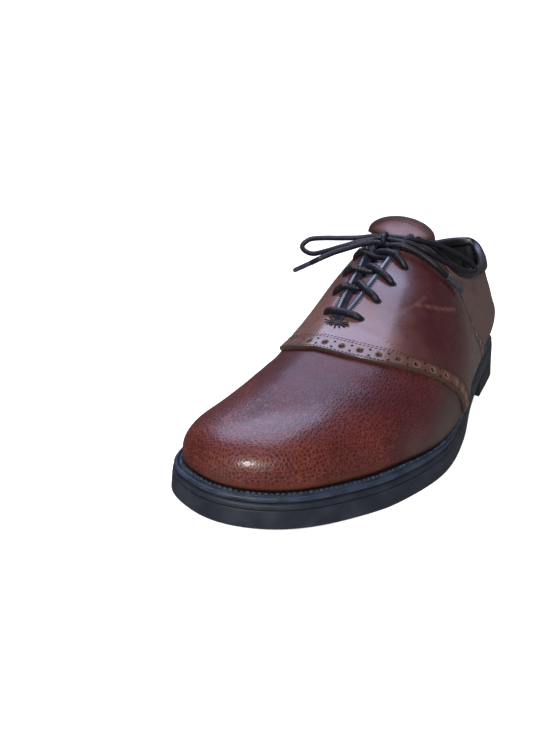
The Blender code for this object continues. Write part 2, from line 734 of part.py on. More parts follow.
def solid(piece):
    """The piece as a plain closed mesh, so that another can be joined to it."""
    evaluated = piece.evaluated_get(bpy.context.evaluated_depsgraph_get())
    mesh = bpy.data.meshes.new_from_object(evaluated)
    work = bmesh.new()
    work.from_mesh(mesh)
    bmesh.ops.remove_doubles(work, verts=work.verts, dist=WELD)
    bmesh.ops.recalc_face_normals(work, faces=work.faces)
    work.to_mesh(mesh)
    work.free()
    name = piece.name
    bpy.data.objects.remove(piece)
    joined = bpy.data.objects.new(name, mesh)
    SHOE.objects.link(joined)
    return joined


def join(name, pieces):
    """One solid from several that overlap."""
    whole, *others = [solid(piece) for piece in pieces]
    whole.name = name
    for other in others:
        SHOE.objects.unlink(other)
        CUTTERS.objects.link(other)
        other.hide_render = True
        other.display_type = "WIRE"
        union = whole.modifiers.new("join", "BOOLEAN")
        union.operation = "UNION"
        union.object = other
    return whole


def lace_lift():
    """How far the middle of the lace lies above the upper's face where it rests on the saddle."""
    return OVERLAY_GAP + SADDLE_LEATHER + LACE_LIFT + LACE_RADIUS


def eyelet(index, side):
    """The middle of the lace where it lies on the saddle over an eyelet."""
    return off_last(side * EYELET_TURNS[index], EYELET_RISE, lace_lift())


def facing_edge(turn, side, lift):
    """A point over the edge of the throat."""
    return off_last(side * turn, FACING_EDGE_RISE, lift)


def make_lace():
    """The bar at the foot of the throat, the crossings, the knot, the loops and the ends."""
    finish = material("lace_cord", (0.020, 0.022, 0.032), 0.45)
    over = lace_lift()
    first = EYELET_TURNS[0]
    bar = [eyelet(0, 1), facing_edge(first, 1, over), facing_edge(first, -1, over), eyelet(0, -1)]
    tube("lace_bar", bar, LACE_RADIUS, finish)
    for index, far_share in enumerate(FAR_SHARES, start=1):
        strands = []
        here, above = EYELET_TURNS[index], EYELET_TURNS[index + 1]
        for side in (1, -1):
            near = facing_edge(here + NEAR_SHARE * (above - here), side, over + 2 * SEAM_GAP)
            far = top_line(-side * (here + far_share * (above - here)))
            far += (near - far) * STOP_SHORT / np.linalg.norm(near - far)
            strands.append(tube("strand", [eyelet(index, side), near, far], LACE_RADIUS, finish))
        join("lace_crossing_" + str(index), strands)
    make_knot(finish)
    tube("lace_loop_outer", LOOP_OUTER, LACE_RADIUS, finish)
    tube("lace_loop_inner", LOOP_INNER, LACE_RADIUS, finish)
    tip = material("aglet_plastic", (0.012, 0.012, 0.015), 0.2)
    ends = ("outer", END_OUTER, AGLET_OUTER_TIP), ("inner", END_INNER, AGLET_INNER_TIP)
    for name, end, point in ends:
        tube("lace_end_" + name, end, LACE_RADIUS, finish)
        start, stop = np.array(end[-1]), np.array(point)
        run = (stop - start) / np.linalg.norm(stop - start)
        tube("aglet_" + name, [start + run * 2 * SEAM_GAP, stop], AGLET_RADIUS, tip)


def make_knot(finish):
    """The knot, with the two strands that come up to it from under the facings."""
    mesh = bpy.data.meshes.new("knot")
    work = bmesh.new()
    bmesh.ops.create_uvsphere(work, u_segments=KNOT_SEGMENTS, v_segments=KNOT_RINGS, radius=1.0)
    bmesh.ops.scale(work, vec=KNOT_RADII, verts=work.verts)
    bmesh.ops.translate(work, vec=KNOT_PLACE, verts=work.verts)
    work.to_mesh(mesh)
    work.free()
    knot = add_object("knot", mesh, finish)
    place = np.array(KNOT_PLACE)
    pieces = [knot]
    for side in (1, -1):
        under = top_line(side * EYELET_TURNS[-1])
        under += (-side * KNOT_STRAND_IN, 0.0, -KNOT_STRAND_DROP)
        pieces.append(tube("strand", [under, place], LACE_RADIUS, finish))
    join("lace_knot", pieces)


make_sole()
make_upper()
make_saddle()
make_binding()
make_tongue()
make_lace()
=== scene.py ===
import math

import bmesh
import bpy
import numpy as np
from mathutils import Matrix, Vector


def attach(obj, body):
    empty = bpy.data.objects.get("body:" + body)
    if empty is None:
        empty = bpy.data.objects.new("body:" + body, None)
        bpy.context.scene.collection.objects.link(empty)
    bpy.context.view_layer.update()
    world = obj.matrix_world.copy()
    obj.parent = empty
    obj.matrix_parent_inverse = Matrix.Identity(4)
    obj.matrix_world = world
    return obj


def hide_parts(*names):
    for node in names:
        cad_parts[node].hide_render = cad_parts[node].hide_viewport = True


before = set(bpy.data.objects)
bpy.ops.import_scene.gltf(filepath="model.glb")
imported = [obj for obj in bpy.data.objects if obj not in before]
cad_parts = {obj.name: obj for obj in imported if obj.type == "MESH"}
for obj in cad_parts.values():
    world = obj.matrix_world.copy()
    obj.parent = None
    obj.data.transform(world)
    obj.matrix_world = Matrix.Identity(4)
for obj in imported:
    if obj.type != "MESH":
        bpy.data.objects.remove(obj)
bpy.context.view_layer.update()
scene = bpy.context.scene


def intoScene(name, data):
    made = bpy.data.objects.new(name, data)
    scene.collection.objects.link(made)
    return made


# Camera, as the photo was taken: place and nearest view in metres, angles in degrees, lens in mm
photoCamera = {
    "place": (0.14238, -0.28445, 0.14604),
    "azimuth": 39.22,
    "pitch": 19.55,
    "lens": 25.95,
    "sensor": 36.0,
    "nearest": 0.01,
}


def makeCamera():
    data = bpy.data.cameras.new("photoCamera")
    data.lens = photoCamera["lens"]
    data.sensor_width = photoCamera["sensor"]
    data.clip_start = photoCamera["nearest"]
    camera = intoScene("photoCamera", data)
    turn = math.radians(photoCamera["azimuth"])
    pitch = math.radians(photoCamera["pitch"])
    look = Vector((-math.sin(turn) * math.cos(pitch), math.cos(turn) * math.cos(pitch), -math.sin(pitch)))
    camera.location = photoCamera["place"]
    camera.rotation_euler = look.to_track_quat("-Z", "Y").to_euler()
    scene.camera = camera


makeCamera()
print("camera set")

# The last that all leather and sole layers follow, metres; rows run from toe tip to heel tip
last = {
    "soleLength": 0.306,
    "ballWidth": 0.116,
    "instepHeight": 0.112,
    "heelLift": 0.0156,
    "soleStack": 0.0144,
    "seamGap": 0.0003,
    "throatAlong": 0.360,
    "facingAlong": 0.580,
    "throatHalf": 0.0095,
    "collarBackAlong": 0.9,
    "throatTurn": 4.952,
    "facingTurn": 7.0,
    "nearTop": 0.985,
    "belowTop": 0.97,
}
rowCount = 12
soleRows = np.array([
    # inner, outer (shares of ballWidth), ground (share of heelLift), feather in and out (m)
    (0.082, -0.082, 0.397, 0.0078, 0.0078),
    (0.285, 0.091, 0.372, 0.0078, 0.0078),
    (0.405, 0.241, 0.256, 0.0076, 0.0076),
    (0.476, 0.353, 0.090, 0.0072, 0.0078),
    (0.500, 0.452, -0.019, 0.0068, 0.0077),
    (0.472, 0.500, -0.019, 0.0066, 0.0053),
    (0.400, 0.456, 0.064, 0.0064, 0.0034),
    (0.358, 0.370, 0.436, 0.0062, 0.0040),
    (0.350, 0.306, 0.769, 0.0058, 0.0040),
    (0.352, 0.260, 0.962, 0.0054, 0.0047),
    (0.315, 0.212, 1.000, 0.0052, 0.0050),
    (0.204, 0.102, 1.000, 0.0052, 0.0052),
    (0.052, -0.052, 1.000, 0.0052, 0.0052),
]).T
topRows = np.array([
    # along, middle, spread in, spread out, height in, height out
    (0.130, -0.084, 0.000, 0.000, 0.395, 0.395),
    (0.137, -0.084, 0.000, 0.000, 0.401, 0.401),
    (0.158, -0.085, 0.000, 0.000, 0.418, 0.418),
    (0.200, -0.087, 0.000, 0.000, 0.452, 0.452),
    (0.275, -0.090, 0.000, 0.000, 0.524, 0.524),
    (0.365, -0.095, 0.000, 0.000, 0.636, 0.636),
    (0.470, -0.100, 0.000, 0.000, 0.830, 0.830),
    (0.580, -0.105, 0.160, 0.085, 0.990, 1.000),
    (0.685, -0.095, 0.240, 0.255, 0.866, 0.808),
    (0.800, -0.084, 0.225, 0.225, 0.848, 0.768),
    (0.895, -0.076, 0.185, 0.180, 0.875, 0.772),
    (0.960, -0.070, 0.105, 0.095, 0.893, 0.821),
    (0.985, -0.066, 0.000, 0.000, 0.888, 0.888),
]).T
outerSections = np.array([
    # lean, wall, crown, turn at the top in degrees
    (0.220, 0.460, 0.380, 90.0),
    (0.220, 0.460, 0.380, 90.0),
    (0.220, 0.440, 0.360, 90.0),
    (0.205, 0.430, 0.360, 90.0),
    (0.175, 0.430, 0.360, 90.0),
    (0.125, 0.430, 0.400, 88.0),
    (0.060, 0.415, 0.420, 78.0),
    (-0.010, 0.380, 0.360, 55.0),
    (0.025, 0.395, 0.280, -2.0),
    (0.185, 0.425, 0.335, 21.0),
    (0.325, 0.450, 0.360, 12.0),
    (0.320, 0.385, 0.360, 12.0),
    (0.280, 0.350, 0.360, 12.0),
]).T
innerSections = np.array([
    (0.220, 0.460, 0.380, 90.0),
    (0.220, 0.460, 0.380, 90.0),
    (0.220, 0.420, 0.390, 90.0),
    (0.150, 0.380, 0.330, 90.0),
    (0.200, 0.410, 0.310, 90.0),
    (0.300, 0.510, 0.310, 88.0),
    (0.260, 0.480, 0.340, 84.0),
    (0.200, 0.450, 0.400, 62.0),
    (0.140, 0.400, 0.300, 14.0),
    (0.240, 0.360, 0.340, 10.0),
    (0.280, 0.350, 0.360, 12.0),
    (0.280, 0.350, 0.360, 12.0),
    (0.280, 0.350, 0.360, 12.0),
]).T
innerEdge, outerEdge, groundShare, featherInner, featherOuter = soleRows
topAlong, topMiddle, spreadIn, spreadOut, heightIn, heightOut = topRows


def ringOf(outerSide, innerSide=None):
    innerSide = outerSide if innerSide is None else innerSide
    return np.concatenate([outerSide, innerSide[-2:0:-1]])


def blendCurve(a, b, c, d, f):
    return b + 0.5 * f * (c - a + f * (2 * a - 5 * b + 4 * c - d + f * (3 * (b - c) + d - a)))


def smoothRing(ring, turn):
    turn = np.asarray(turn, float)
    first = np.floor(turn).astype(int)
    a, b, c, d = (ring[(first + k) % len(ring)] for k in (-1, 0, 1, 2))
    return blendCurve(a, b, c, d, turn - first)


def unit(vectors):
    return vectors / np.maximum(np.linalg.norm(vectors, axis=-1, keepdims=True), 1e-12)


def soleEdge(turn):
    x = smoothRing(ringOf(outerEdge, -innerEdge) * last["ballWidth"], turn)
    y = -0.5 * last["soleLength"] * np.cos(np.asarray(turn, float) * math.pi / rowCount)
    return np.stack([x, y], axis=-1)


def outward(turn, step=0.02):
    along = soleEdge(np.asarray(turn, float) + step) - soleEdge(np.asarray(turn, float) - step)
    return unit(np.stack([along[..., 1], -along[..., 0]], axis=-1))


def groundZ(y):
    share = np.clip(-2.0 * np.asarray(y, float) / last["soleLength"], -1.0, 1.0)
    turn = np.arccos(share) * rowCount / math.pi
    return last["heelLift"] * np.maximum(0.0, smoothRing(ringOf(groundShare), turn))


def featherIn(turn):
    return smoothRing(ringOf(featherOuter, featherInner), turn)


def featherLine(turn):
    edge = soleEdge(turn) - outward(turn) * featherIn(turn)[..., None]
    height = groundZ(edge[..., 1]) + last["soleStack"] + last["seamGap"]
    return np.concatenate([edge, height[..., None]], axis=-1)


def topLine(turn):
    turn = np.asarray(turn, float)
    along = smoothRing(ringOf(topAlong), turn)
    spread = smoothRing(ringOf(spreadOut, -spreadIn), turn) * last["ballWidth"]
    share = np.clip((along - last["throatAlong"]) / (last["facingAlong"] - last["throatAlong"]), 0, 1)
    share = np.where(along < last["collarBackAlong"], share, 0.0)
    half = last["throatHalf"] * np.sqrt(share)
    isOuter = turn % (2 * rowCount) < rowCount
    spread = np.where(isOuter, np.maximum(spread, half), np.minimum(spread, -half))
    x = smoothRing(ringOf(topMiddle), turn) * last["ballWidth"] + spread
    z = smoothRing(ringOf(heightOut, heightIn), turn) * last["instepHeight"]
    return np.stack([x, (along - 0.5) * last["soleLength"], z], axis=-1)


def ridgeSlope(turn):
    slope = np.gradient(heightOut * last["instepHeight"], topAlong * last["soleLength"])
    slope[int(last["facingTurn"]) + 1:] = 0.0
    return smoothRing(ringOf(slope), turn)


def lastPoint(turn, rise):
    turn, rise = np.broadcast_arrays(np.asarray(turn, float), np.asarray(rise, float))
    foot, top = featherLine(turn), topLine(turn)
    pairs = zip(outerSections, innerSections)
    lean, wall, crown, angle = (smoothRing(ringOf(*pair), turn) for pair in pairs)
    reach = np.linalg.norm(top - foot, axis=-1)
    low = np.zeros_like(foot)
    low[..., :2] = outward(turn) * lean[..., None]
    low[..., 2] = 1.0
    inward = top - foot
    inward[..., 2] = 0.0
    inward = unit(inward)
    angle = np.radians(angle)
    arrive = inward * np.sin(angle)[..., None]
    arrive[..., 2] = np.cos(angle) + ridgeSlope(turn) * inward[..., 1] * np.sin(angle)
    low = foot + low * (wall * reach)[..., None]
    high = top - arrive * (crown * reach)[..., None]
    r = rise[..., None]
    q = 1.0 - r
    return q**3 * foot + 3 * q * q * r * low + 3 * q * r * r * high + r**3 * top


def lastNormal(turn, rise, step=0.01):
    turn, rise = np.broadcast_arrays(np.asarray(turn, float), np.asarray(rise, float))
    across = lastPoint(turn + step, rise) - lastPoint(turn - step, rise)
    upward = lastPoint(turn, np.minimum(rise + step, 1.0)) - lastPoint(turn, np.maximum(rise - step, 0.0))
    return unit(np.cross(across, upward))


def offLast(turn, rise, lift):
    return lastPoint(turn, rise) + lastNormal(turn, rise) * np.asarray(lift, float)[..., None]


def riseBelowTop(turn, distance, step=0.02):
    run = np.linalg.norm(topLine(turn) - lastPoint(turn, 1.0 - step), axis=-1)
    return 1.0 - step * distance / run


def smoothStep(low, high, value):
    f = np.clip((value - low) / (high - low), 0.0, 1.0)
    return f * f * (3 - 2 * f)


def arcLength(points):
    steps = np.linalg.norm(np.diff(points, axis=0), axis=1)
    return np.concatenate([[0.0], np.cumsum(steps)])


def smoothRoute(route, step):
    route = np.array(route, float)
    knots = np.concatenate([[2 * route[0] - route[1]], route, [2 * route[-1] - route[-2]]])
    points = []
    for i in range(1, len(knots) - 2):
        a, b, c, d = knots[i - 1:i + 3]
        count = max(1, round(np.linalg.norm(c - b) / step))
        points += [blendCurve(a, b, c, d, f) for f in np.arange(count) / count]
    return np.array(points + [route[-1]])


# Meshes
def gridFaces(columns, rows, start=0):
    base = (start + np.arange(columns - 1)[:, None] * rows + np.arange(rows - 1)[None, :]).ravel()
    return np.stack([base, base + rows, base + rows + 1, base + 1], axis=1).tolist()


def makePiece(name, verts, faces, finishes, uv=None, paint=None, faceFinish=None, weld=0.0, sharp=None):
    mesh = bpy.data.meshes.new(name)
    mesh.from_pydata(np.asarray(verts, float).reshape(-1, 3).tolist(), [], faces)
    for finish in finishes:
        mesh.materials.append(finish)
    if faceFinish is not None:
        mesh.polygons.foreach_set("material_index", np.asarray(faceFinish, np.int32))
    if uv is not None:
        corner = np.zeros(len(mesh.loops), np.int32)
        mesh.loops.foreach_get("vertex_index", corner)
        layer = mesh.uv_layers.new(name="UVMap")
        layer.data.foreach_set("uv", np.asarray(uv, np.float32)[corner].ravel())
    for key, values in (paint or {}).items():
        layer = mesh.attributes.new(key, "FLOAT", "POINT")
        layer.data.foreach_set("value", np.asarray(values, np.float32).ravel())
    if weld:
        work = bmesh.new()
        work.from_mesh(mesh)
        bmesh.ops.remove_doubles(work, verts=work.verts, dist=weld)
        bmesh.ops.dissolve_degenerate(work, edges=work.edges, dist=weld * 0.1)
        work.to_mesh(mesh)
        work.free()
    mesh.shade_smooth()
    if sharp is not None:
        mesh.set_sharp_from_angle(angle=math.radians(sharp))
    return intoScene(name, mesh)


def faceOutward(piece):
    work = bmesh.new()
    work.from_mesh(piece.data)
    bmesh.ops.recalc_face_normals(work, faces=work.faces)
    work.to_mesh(piece.data)
    work.free()


def seatPiece(piece, slot, *nodes):
    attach(piece, "root")
    if nodes:
        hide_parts(*nodes)
    return piece


# Shader nodes
def put(tree, kind, values=None, **settings):
    made = tree.nodes.new(kind)
    for key, value in settings.items():
        setattr(made, key, value)
    for key, value in (values or {}).items():
        if isinstance(value, bpy.types.NodeSocket):
            tree.links.new(value, made.inputs[key])
        elif isinstance(value, tuple) and len(value) == 3 and made.inputs[key].type == "RGBA":
            made.inputs[key].default_value = (*value, 1.0)
        else:
            made.inputs[key].default_value = value
    return made


def newFinish(name, **sockets):
    finish = bpy.data.materials.new(name)
    finish.use_nodes = True
    shader = finish.node_tree.nodes["Principled BSDF"]
    for key, value in sockets.items():
        shader.inputs[key].default_value = value
    return finish, finish.node_tree, shader


def setShader(tree, shader, **sockets):
    names = {"colour": "Base Color", "roughness": "Roughness", "normal": "Normal"}
    names.update(polish="Coat Weight", coatNormal="Coat Normal")
    for key, socket in sockets.items():
        tree.links.new(socket, shader.inputs[names[key]])


def objectPlace(tree):
    return put(tree, "ShaderNodeTexCoord").outputs["Object"]


def mixColour(tree, share, a, b):
    return put(tree, "ShaderNodeMix", {0: share, 6: a, 7: b}, data_type="RGBA").outputs[2]


def tint(tree, colour, by):
    values = {0: 1.0, 6: colour, 7: by}
    return put(tree, "ShaderNodeMix", values, data_type="RGBA", blend_type="MULTIPLY").outputs[2]


def calc(tree, operation, a, b=0.0):
    return put(tree, "ShaderNodeMath", {0: a, 1: b}, operation=operation).outputs[0]


def stretch(tree, value, low, high, toLow=0.0, toHigh=1.0):
    values = {0: value, 1: low, 2: high, 3: toLow, 4: toHigh}
    return put(tree, "ShaderNodeMapRange", values, interpolation_type="SMOOTHSTEP").outputs[0]


def cloud(tree, place, size, detail=3.0, roughness=0.55):
    values = {"Vector": place, "Scale": 1.0 / size, "Detail": detail, "Roughness": roughness}
    return put(tree, "ShaderNodeTexNoise", values)


def cells(tree, place, size, feature="DISTANCE_TO_EDGE", randomness=1.0):
    values = {"Vector": place, "Scale": 1.0 / size, "Randomness": randomness}
    return put(tree, "ShaderNodeTexVoronoi", values, feature=feature).outputs["Distance"]


def painted(tree, name):
    return put(tree, "ShaderNodeAttribute", attribute_name=name).outputs["Fac"]


def bump(tree, height, depth, strength=1.0, under=None):
    values = {"Strength": strength, "Distance": depth, "Height": height}
    if under is not None:
        values["Normal"] = under
    return put(tree, "ShaderNodeBump", values).outputs[0]


def warped(tree, place, size, amount):
    shift = cloud(tree, place, size, 1.0).outputs["Color"]
    shift = put(tree, "ShaderNodeVectorMath", {0: shift, 1: (0.5, 0.5, 0.5)}, operation="SUBTRACT").outputs[0]
    values = {0: shift, 1: (amount, amount, amount), 2: place}
    return put(tree, "ShaderNodeVectorMath", values, operation="MULTIPLY_ADD").outputs[0]


# Leathers: linear colours, sizes in metres
vampFinish = {
    "cellSize": 0.0017,
    "fineSize": 0.0010,
    "burgundy": (0.045, 0.0044, 0.0056),
    "russet": (0.066, 0.0072, 0.0044),
    "burgundyNet": (0.122, 0.0220, 0.0230),
    "russetNet": (0.198, 0.0390, 0.0230),
    "hem": (0.115, 0.0290, 0.0150),
    "taupe": (0.075, 0.0500, 0.0480),
    "polish": (0.16, 0.62),
    "coatRough": 0.24,
    "specular": 0.36,
    "netDepth": 0.00030,
    "netShow": 0.75,
    "wrinkleShow": 0.50,
}


def vampLeather():
    gloss = {"Coat Roughness": vampFinish["coatRough"], "Specular IOR Level": vampFinish["specular"]}
    finish, tree, shader = newFinish("vampLeather", **gloss)
    place = warped(tree, objectPlace(tree), 0.005, 0.0012)
    pebbles = cells(tree, place, vampFinish["cellSize"], randomness=0.75)
    wrinkles = cells(tree, place, vampFinish["fineSize"])
    grain, dusk, warmAndTongueSheen = painted(tree, "grain"), painted(tree, "dusk"), painted(tree, "warmAndTongueSheen")
    drift = cloud(tree, objectPlace(tree), 0.022, 4.0).outputs["Fac"]
    warmAndTongueSheen = calc(tree, "ADD", warmAndTongueSheen, stretch(tree, drift, 0.35, 0.70, -0.15, 0.20))
    # thin light net between dark pebbles, finer wrinkles where the grain fades
    net = calc(tree, "MULTIPLY", stretch(tree, pebbles, 0.02, 0.15, 1.0, 0.0), vampFinish["netShow"])
    crinkle = calc(tree, "MULTIPLY", stretch(tree, wrinkles, 0.02, 0.25, 1.0, 0.0), vampFinish["wrinkleShow"])
    lines = put(tree, "ShaderNodeMix", {0: grain, 2: crinkle, 3: net}).outputs[0]
    lines = calc(tree, "MULTIPLY", lines, stretch(tree, dusk, 0.0, 1.0, 1.0, 0.25))
    pebble = mixColour(tree, warmAndTongueSheen, vampFinish["burgundy"], vampFinish["russet"])
    netting = mixColour(tree, warmAndTongueSheen, vampFinish["burgundyNet"], vampFinish["russetNet"])
    colour = mixColour(tree, lines, pebble, netting)
    colour = mixColour(tree, painted(tree, "hem"), colour, vampFinish["hem"])
    colour = mixColour(tree, calc(tree, "MULTIPLY", dusk, 0.85), colour, vampFinish["taupe"])
    colour = tint(tree, colour, stretch(tree, drift, 0.3, 0.7, 0.82, 1.12))
    # painted shade: the leather darkens to 12% towards the welt, where shade falls in the joint
    colour = tint(tree, colour, stretch(tree, painted(tree, "weltShade"), 0.0, 1.0, 1.0, 0.12))
    rough = stretch(tree, drift, 0.3, 0.75, 0.42, 0.52)
    polish = stretch(tree, painted(tree, "shine"), 0.0, 1.0, *vampFinish["polish"])
    rounded = stretch(tree, pebbles, 0.0, 0.36, 1.0, 0.0)
    creased = stretch(tree, wrinkles, 0.0, 0.36, 0.6, 0.0)
    height = put(tree, "ShaderNodeMix", {0: grain, 2: creased, 3: rounded}).outputs[0]
    setShader(
        tree, shader, colour=colour, roughness=rough, polish=polish,
        normal=bump(tree, height, vampFinish["netDepth"], 0.45),
        coatNormal=bump(tree, height, vampFinish["netDepth"], 0.09),
    )
    return finish


saddleFinish = {
    "burgundy": (0.046, 0.0068, 0.0092),
    "chestnutAndTongueSheen": (0.165, 0.0700, 0.0560),
    "umber": (0.080, 0.0440, 0.0390),
    "scratch": (0.200, 0.0950, 0.0700),
    "fold": (0.050, 0.0250, 0.0170),
    "band": (0.120, 0.0560, 0.0380),
    "gloss": (0.26, 0.36),
    "coat": 0.35,
    "coatRough": 0.15,
    "specular": 0.45,
    "wrinkleSize": 0.0028,
}
quarterFinish = {
    "burgundy": (0.100, 0.0610, 0.0540),
    "chestnutAndTongueSheen": (0.135, 0.0900, 0.0780),
    "umber": (0.105, 0.0760, 0.0700),
    "scratch": (0.170, 0.1250, 0.1050),
    "fold": (0.040, 0.0300, 0.0260),
    "gloss": (0.48, 0.60),
    "coat": 0.0,
    "coatRough": 0.15,
    "specular": 0.25,
    "wrinkleSize": 0.0022,
}
tongueFinish = {
    "burgundy": (0.090, 0.0300, 0.0280),
    # the tongue's light lavender-pink tone is a painted sheen, colour standing in for the sky's reflection
    "chestnutAndTongueSheen": (0.300, 0.2000, 0.2500),
    "umber": (0.060, 0.0220, 0.0180),
    "scratch": (0.200, 0.1000, 0.0800),
    "fold": (0.040, 0.0120, 0.0100),
    "gloss": (0.30, 0.42),
    "coat": 0.90,
    "coatRough": 0.38,
    "specular": 0.45,
    "wrinkleSize": 0.0028,
}


def smoothLeather(name, look):
    gloss = {"Coat Weight": look["coat"], "Coat Roughness": look["coatRough"]}
    finish, tree, shader = newFinish(name, **gloss, **{"Specular IOR Level": look["specular"]})
    place = objectPlace(tree)
    drift = cloud(tree, place, 0.018, 2.5, 0.5).outputs["Fac"]
    streak = cloud(tree, warped(tree, place, 0.02, 0.003), 0.007, 2.5, 0.5).outputs["Fac"]
    # warm tone on saddle and quarter; on the tongue the same mix paints its sheen
    warmAndTongueSheen = calc(tree, "ADD", painted(tree, "warmAndTongueSheen"), stretch(tree, drift, 0.30, 0.75, -0.08, 0.10))
    colour = mixColour(tree, warmAndTongueSheen, look["burgundy"], look["chestnutAndTongueSheen"])
    colour = mixColour(tree, painted(tree, "dusk"), colour, look["umber"])
    colour = tint(tree, colour, stretch(tree, streak, 0.3, 0.7, 0.92, 1.06))
    colour = mixColour(tree, painted(tree, "scratch"), colour, look["scratch"])
    if "band" in look:
        colour = mixColour(tree, painted(tree, "band"), colour, look["band"])
    colour = mixColour(tree, painted(tree, "fold"), colour, look["fold"])
    rough = stretch(tree, streak, 0.3, 0.75, *look["gloss"])
    wrinkle = cloud(tree, place, look["wrinkleSize"], 1.5).outputs["Fac"]
    setShader(tree, shader, colour=colour, roughness=rough, normal=bump(tree, wrinkle, 0.00012, 0.5))
    return finish


def plainFinish(name, dark, light, patch, roughness, depth, grainSize, coat=0.0, coatRoughness=0.2):
    finish, tree, shader = newFinish(name, **{"Coat Weight": coat, "Coat Roughness": coatRoughness})
    place = objectPlace(tree)
    drift = cloud(tree, place, patch, 4.0, 0.6).outputs["Fac"]
    grain = cells(tree, warped(tree, place, grainSize * 2, grainSize * 0.4), grainSize)
    setShader(
        tree, shader,
        colour=mixColour(tree, stretch(tree, drift, 0.3, 0.72), dark, light),
        roughness=stretch(tree, drift, 0.3, 0.75, roughness - 0.06, roughness + 0.08),
        normal=bump(tree, stretch(tree, grain, 0.0, 0.3), depth, 0.5),
    )
    return finish


laceLook = {
    "dark": (0.0040, 0.0038, 0.0078),
    "light": (0.0100, 0.0095, 0.0190),
    "roughness": (0.55, 0.40),
    "coat": 0.10,
    "coatRough": 0.3,
    "specular": 0.40,
    "plaits": 6.0,
    "plaitLean": 12.0,
    "plaitDepth": 0.00022,
}


def laceFinish():
    gloss = {"Coat Weight": laceLook["coat"], "Coat Roughness": laceLook["coatRough"]}
    gloss["Specular IOR Level"] = laceLook["specular"]
    finish, tree, shader = newFinish("waxedLace", **gloss)
    uv = put(tree, "ShaderNodeUVMap", uv_map="UVMap").outputs[0]
    split = put(tree, "ShaderNodeSeparateXYZ", {0: uv}).outputs
    along = calc(tree, "MULTIPLY", split[0], laceLook["plaits"] * math.pi)
    plaits = []
    for sign in (1.0, -1.0):
        lean = calc(tree, "MULTIPLY", split[1], sign * laceLook["plaitLean"] * math.pi)
        plaits.append(calc(tree, "SINE", calc(tree, "ADD", along, lean)))
    height = stretch(tree, calc(tree, "MULTIPLY", *plaits), -1.0, 1.0)
    setShader(
        tree, shader,
        colour=mixColour(tree, height, laceLook["dark"], laceLook["light"]),
        roughness=stretch(tree, height, 0.0, 1.0, *laceLook["roughness"]),
        normal=bump(tree, height, laceLook["plaitDepth"], 0.6),
    )
    return finish


holeLook = {
    "rimDark": (0.090, 0.0350, 0.0220),
    "rimLight": (0.260, 0.1300, 0.0750),
    # near-black painted shade in the depth of the holes and on the pinhole dots
    "inside": (0.012, 0.0050, 0.0040),
    "roughness": 0.55,
}


def holeFinish():
    finish, tree, shader = newFinish("punchedLeather", Roughness=holeLook["roughness"])
    # inside: painted shade towards the bottom of each hole
    inside = painted(tree, "inside")
    drift = cloud(tree, objectPlace(tree), 0.004, 3.0).outputs["Fac"]
    rim = mixColour(tree, drift, holeLook["rimDark"], holeLook["rimLight"])
    setShader(tree, shader, colour=mixColour(tree, inside, rim, holeLook["inside"]))
    return finish


finishes = {
    "vamp": vampLeather(),
    "saddle": smoothLeather("saddleLeather", saddleFinish),
    "quarter": smoothLeather("quarterLeather", quarterFinish),
    "tongue": smoothLeather("tongueLeather", tongueFinish),
    "lace": laceFinish(),
    "hole": holeFinish(),
}
# name, dark, light, patch size, roughness, grain depth, grain size, coat, coat roughness
for key, *look in (
    (
        "binding", "bindingLeather", (0.005, 0.005, 0.008), (0.012, 0.012, 0.018),
        0.02, 0.38, 0.0001, 0.0012, 0.2,
    ),
    ("lining", "liningLeather", (0.006, 0.006, 0.008), (0.013, 0.013, 0.017), 0.02, 0.55, 0.0001, 0.0010),
    # facing edges: black leather lightened to blue-grey, partly a painted reflection of the sky on their
    # shiny fold
    ("facing", "facingEdge", (0.026, 0.030, 0.052), (0.045, 0.052, 0.085), 0.01, 0.26, 0.00005, 0.0010, 0.5),
    ("insole", "insoleLeather", (0.020, 0.015, 0.013), (0.045, 0.034, 0.028), 0.03, 0.5, 0.0001, 0.0009),
    ("outsole", "outsoleRubber", (0.011, 0.015, 0.025), (0.022, 0.028, 0.042), 0.012, 0.50, 0.00008, 0.0008),
    ("heel", "heelRubber", (0.004, 0.006, 0.011), (0.008, 0.012, 0.020), 0.012, 0.46, 0.00008, 0.0008),
    ("midsole", "midsoleRubber", (0.011, 0.014, 0.024), (0.021, 0.026, 0.039), 0.014, 0.5, 0.00008, 0.0009),
    ("welt", "weltRubber", (0.013, 0.021, 0.037), (0.032, 0.047, 0.076), 0.010, 0.42, 0.0001, 0.0010),
    ("weltThread", "weltThread", (0.014, 0.021, 0.033), (0.060, 0.078, 0.108), 0.003, 0.5, 0.00008, 0.0004),
    ("darkThread", "darkThread", (0.020, 0.007, 0.007), (0.050, 0.022, 0.018), 0.006, 0.5, 0.00005, 0.0003),
    ("blackThread", "blackThread", (0.006, 0.006, 0.009), (0.016, 0.016, 0.022), 0.006, 0.5, 0.00005, 0.0003),
    (
        "aglet", "agletPlastic", (0.020, 0.022, 0.036), (0.040, 0.044, 0.066),
        0.004, 0.14, 0.00001, 0.001, 1.0, 0.05,
    ),
):
    finishes[key] = plainFinish(*look)
print("finishes made:", len(finishes))

